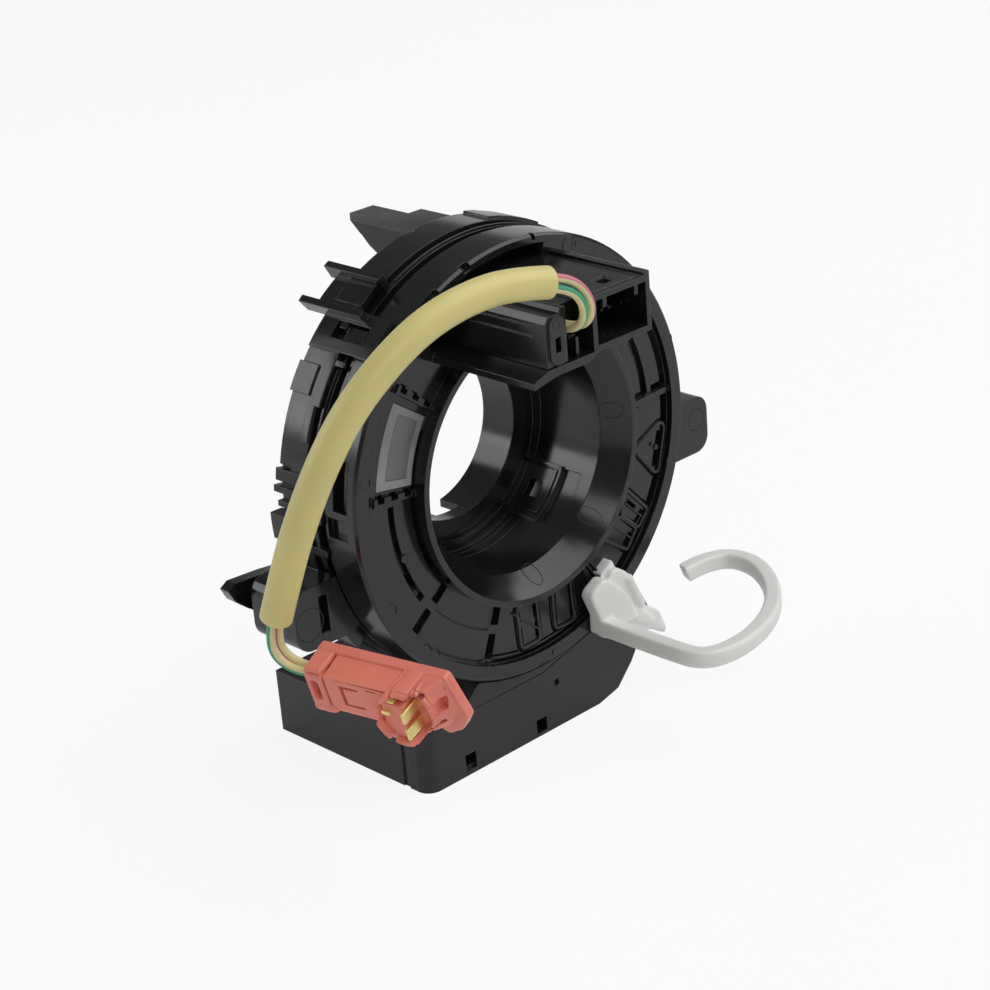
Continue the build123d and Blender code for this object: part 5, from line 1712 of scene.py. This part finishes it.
@dataclass(frozen=True)
class AirbagPlug:
    """The red plug at the end of the lead, built in its own frame: along, up and out of its face."""

    frame: Frame = Frame((-70.2, -11.0, -11.85), (0.204, -0.979, 0.001), (-0.938, -0.196, -0.284))
    snout: tuple[float, float] = (24.4, -5.8)
    outer: float = 6.1
    wall: float = 1.5
    claws: tuple[Point, ...] = (
        (72.0, 108.0, 9.6), (114.0, 142.0, 10.6), (149.0, 183.0, 11.2), (190.0, 236.0, 11.6),
        (243.0, 292.0, 11.4), (-62.0, 66.0, 7.6),
    )
    back: tuple[Spot, ...] = (
        (0, 0), (31, 0), (33.8, -9.8), (31.6, -13.4), (27.8, -15.6), (20.4, -11.4), (0, -11.4),
    )
    tray_blocks: tuple[tuple, ...] = (
        ([(0.0, -0.05), (4.6, -0.05), (4.6, -2.0), (0.0, -2.0)],
         [(0.3, -0.5), (4.5, -0.5), (4.5, -2.0), (0.3, -2.0)], 1.0, 7.7, 0.35),
        ([(0.0, -1.0), (1.5, -1.0), (1.5, -11.3), (0.0, -11.3)],
         [(0.3, -1.0), (1.5, -1.0), (1.5, -11.1), (0.3, -11.1)], 1.0, 6.2, 0.35),
        ([(0.0, -10.0), (18.6, -10.0), (18.6, -11.4), (0.0, -11.4)],
         [(0.4, -10.0), (18.2, -10.0), (18.2, -11.2), (0.4, -11.2)], 1.0, 5.4, 0.35),
        ([(21.2, -0.05), (31.2, -0.05), (33.2, -7.4), (29.8, -13.2), (24.0, -13.0), (21.2, -11.2)],
         [(21.5, -0.5), (28.8, -0.5), (29.9, -6.4), (28.4, -11.2), (24.0, -11.2), (21.5, -9.8)],
         1.2, 6.3, 0.4),
        ([(21.6, -0.6), (26.6, -0.6), (26.6, -1.9), (21.6, -1.9)], None, 5.8, 7.4, 0.35),
    )
    core_blocks: tuple[tuple, ...] = (
        ([(20.6, -1.8), (25.5, -2.2), (25.5, -10.2), (22.6, -10.4), (20.0, -8.2)], None, 3.0, 10.2, 0.3),
        ([(18.4, -8.8), (21.8, -11.0), (21.0, -12.6), (18.0, -11.9)], None, 2.0, 9.4, 0.35),
    )
    blade_boxes: tuple[tuple[float, ...], ...] = (
        (25.6, 26.4, -5.3, -2.7, 11.3), (25.6, 26.4, -9.6, -6.8, 11.3), (21.6, 23.6, -1.9, -1.3, 10.0),
        (20.6, 22.6, -4.4, -3.5, 10.9),
    )
    pit_boxes: tuple[tuple[float, ...], ...] = (
        (27.0, 28.6, -2.0, -1.0, 4.4), (29.6, 31.2, -6.4, -3.6, 3.0), (30.6, 31.6, -2.6, -1.6, 2.6),
        (28.0, 30.2, -9.8, -8.8, 3.2), (19.0, 20.6, -10.6, -9.6, 7.8),
    )

    def loft(self, low: Sequence[Spot], high: Sequence[Spot], back: float,
             front: float, soft: float = 0.35) -> Shape:
        """Block that goes straight from one rounded outline at its back to another at its front,
        with a rounded front edge.

        Args:
            low: corners at the back.
            high: as many corners at the front.
            back: height of the back.
            front: height of the front.
            soft: radius of all edges.

        Returns:
            Points and faces.
        """
        first, last = rounded(low, 2.2 * soft), rounded(high, 2.2 * soft)
        turn = np.linspace(0.0, math.pi / 2, 5)
        rings = [flat(first, back)] + [
            flat(inset(last, soft * (1.0 - math.cos(step))), front - soft + soft * math.sin(step))
            for step in turn]
        return skin(np.stack(rings))

    def claw(self, start: float, end: float, front: float) -> Shape:
        """One claw of the snout: part of its wall, narrower towards the tip and bevelled inside.

        Args:
            start: first angle in degrees about the snout.
            end: last angle.
            front: height of its tip.

        Returns:
            Points and faces.
        """
        rings = []
        for height, outer, inner, squeeze in (
                (2.0, 0.0, 0.0, 0.0), (front - 1.3, 0.0, 0.0, 0.0), (front - 1.1, -0.25, 0.0, 1.0),
                (front - 0.4, -0.25, 0.3, 2.0), (front, -0.6, 0.75, 4.0)):
            ring = ring_part(
                self.outer - self.wall + inner, self.outer + outer, start + squeeze, end - squeeze, 12)
            rings.append(flat(ring + np.array(self.snout), height))
        return skin(np.stack(rings))

    def stack(self, rows: Iterable[tuple], moulding: Moulding | None = None) -> Moulding:
        """Build a row of lofted blocks in the plug's frame.

        Args:
            rows: for each block its corners at the back and at the front, or None where they are
                the same, both heights and the soft radius.
            moulding: collector to add to, or None for a new one.

        Returns:
            The collector.
        """
        moulding = moulding or Moulding()
        for low, high, back, front, soft in rows:
            moulding.add(self.loft(low, low if high is None else high, back, front, soft), self.frame)
        return moulding

    def housing(self) -> Moulding:
        """The tray: back plate, rim, raised end block and the snout with its claws.

        Returns:
            The moulding.
        """
        tray = Moulding().add(plate(rounded(self.back, 0.7), 0.0, 2.3, 0.45), self.frame)
        self.stack(self.tray_blocks, tray)
        for start, finish, front in self.claws:
            tray.add(self.claw(start, finish, front), self.frame)
        return self.stack(self.core_blocks, tray)

    def pits(self) -> Moulding:
        """Cuts into the tray: small pits beside the snout and a notch at its foot.

        Returns:
            The cutters.
        """
        cuts = Moulding()
        for left, right, low, high, floor in self.pit_boxes:
            cuts.add(prism(rounded(box_outline(left, right, low, high), 0.25), floor, 12.5), self.frame)
        return cuts

    def lid(self) -> Moulding:
        """The cover over the contacts, a block with a slanting end."""
        face = [(4.9, -0.45), (21.4, -0.45), (19.4, -2.4), (18.0, -5.6), (18.8, -10.3), (4.9, -10.3)]
        return self.stack([(face, [(4.9, -1.3), (20.8, -1.3), *face[2:]], 2.0, 8.0, 0.35)])

    def lid_slots(self) -> Moulding:
        """The bent slot in the cover and the short one at its end."""
        bent = [(8.4, -2.9), (13.1, -2.9), (13.1, -3.5), (9.4, -3.6), (9.5, -7.6), (13.6, -7.4), (13.6, -8.1),
                (8.6, -8.1)]
        short = [(15.2, -2.2), (17.8, -2.3), (17.8, -2.7), (15.2, -2.6)]
        return Moulding().add(prism(np.array(bent), 6.9, 9.0), self.frame).add(
            prism(np.array(short), 7.4, 9.0), self.frame)

    def latch(self) -> Moulding:
        """The latch: a closed loop at the lead's end with a foot beside it.

        Returns:
            The moulding.
        """
        outer = rounded(box_outline(0.4, 4.6, -1.6, -9.6), 0.7)
        inner = rounded(box_outline(1.5, 3.3, -3.2, -8.0), 0.7)
        rings = [flat(outer, 5.4), flat(outer, 8.0), flat(inset(outer, 0.3), 8.3),
                 flat(inset(inner, -0.25), 8.3), flat(inner, 8.0), flat(inner, 5.4)]
        loop = Moulding().add(skin(np.stack(rings), joined_ends=True), self.frame)
        foot = [(0.2, -9.4), (6.4, -9.2), (6.2, -10.8), (4.6, -11.4), (0.2, -11.3)]
        return self.stack([(foot, None, 3.6, 8.2, 0.45)], loop)

    def blades(self) -> Moulding:
        """The two contact blades and the two short tabs between the claws."""
        return self.stack(
            [(box_outline(*sides), None, 3.0, front, 0.12) for *sides, front in self.blade_boxes])

    def build(self, book: FinishBook) -> list[Thing]:
        """Make the tray, the cover with its slot, the latch and the contacts.

        Args:
            book: finishes.

        Returns:
            The pieces of the plug.
        """
        pieces = []
        for name, blank, cutters, node in (
                ("plug_tray", self.housing(), self.pits(), "airbag_plug_housing"),
                ("plug_cover", self.lid(), self.lid_slots(), "airbag_plug_cover")):
            solid = blank.build(name + "_blank", 40.0)
            pieces.append(seat(carve(name, solid, [cutters], joined=False), Body.ROTOR, Slot.PLUG, book, node))
            bpy.data.objects.remove(solid)
        for name, moulding, slot, node in (
                ("plug_latch", self.latch(), Slot.PLUG, "airbag_plug_latch"),
                ("plug_contact_blades", self.blades(), Slot.BRASS, "airbag_plug_contacts")):
            pieces.append(seat(moulding.build(name, 40.0), Body.ROTOR, slot, book, node))
        return pieces


def corners(box: Iterable[Iterable[float]]) -> list[list[float]]:
    """A box's corners as plain lists of numbers."""
    return [[float(value) for value in corner] for corner in box]


def main() -> None:
    """Load the frame and build every sub-assembly in order."""
    logging.basicConfig(level=logging.INFO, format="%(message)s")
    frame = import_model()
    book = FinishBook()
    Studio().build()
    nodes = frame["nodes"]
    for name, slot in NODE_SLOTS.items():
        book.dress(nodes[name], slot)
        LOG.info("dressed %s", name)
    AirbagLead().build(book, AirbagPlug().build(book))
    RotorFace().build(book, nodes["rotor"])
    WindowPanel().build(book, nodes["inspection_window"])
    CaseTrim().build(book, nodes)
    TransportLock().build(book)


if __name__ == "__main__":
    main()
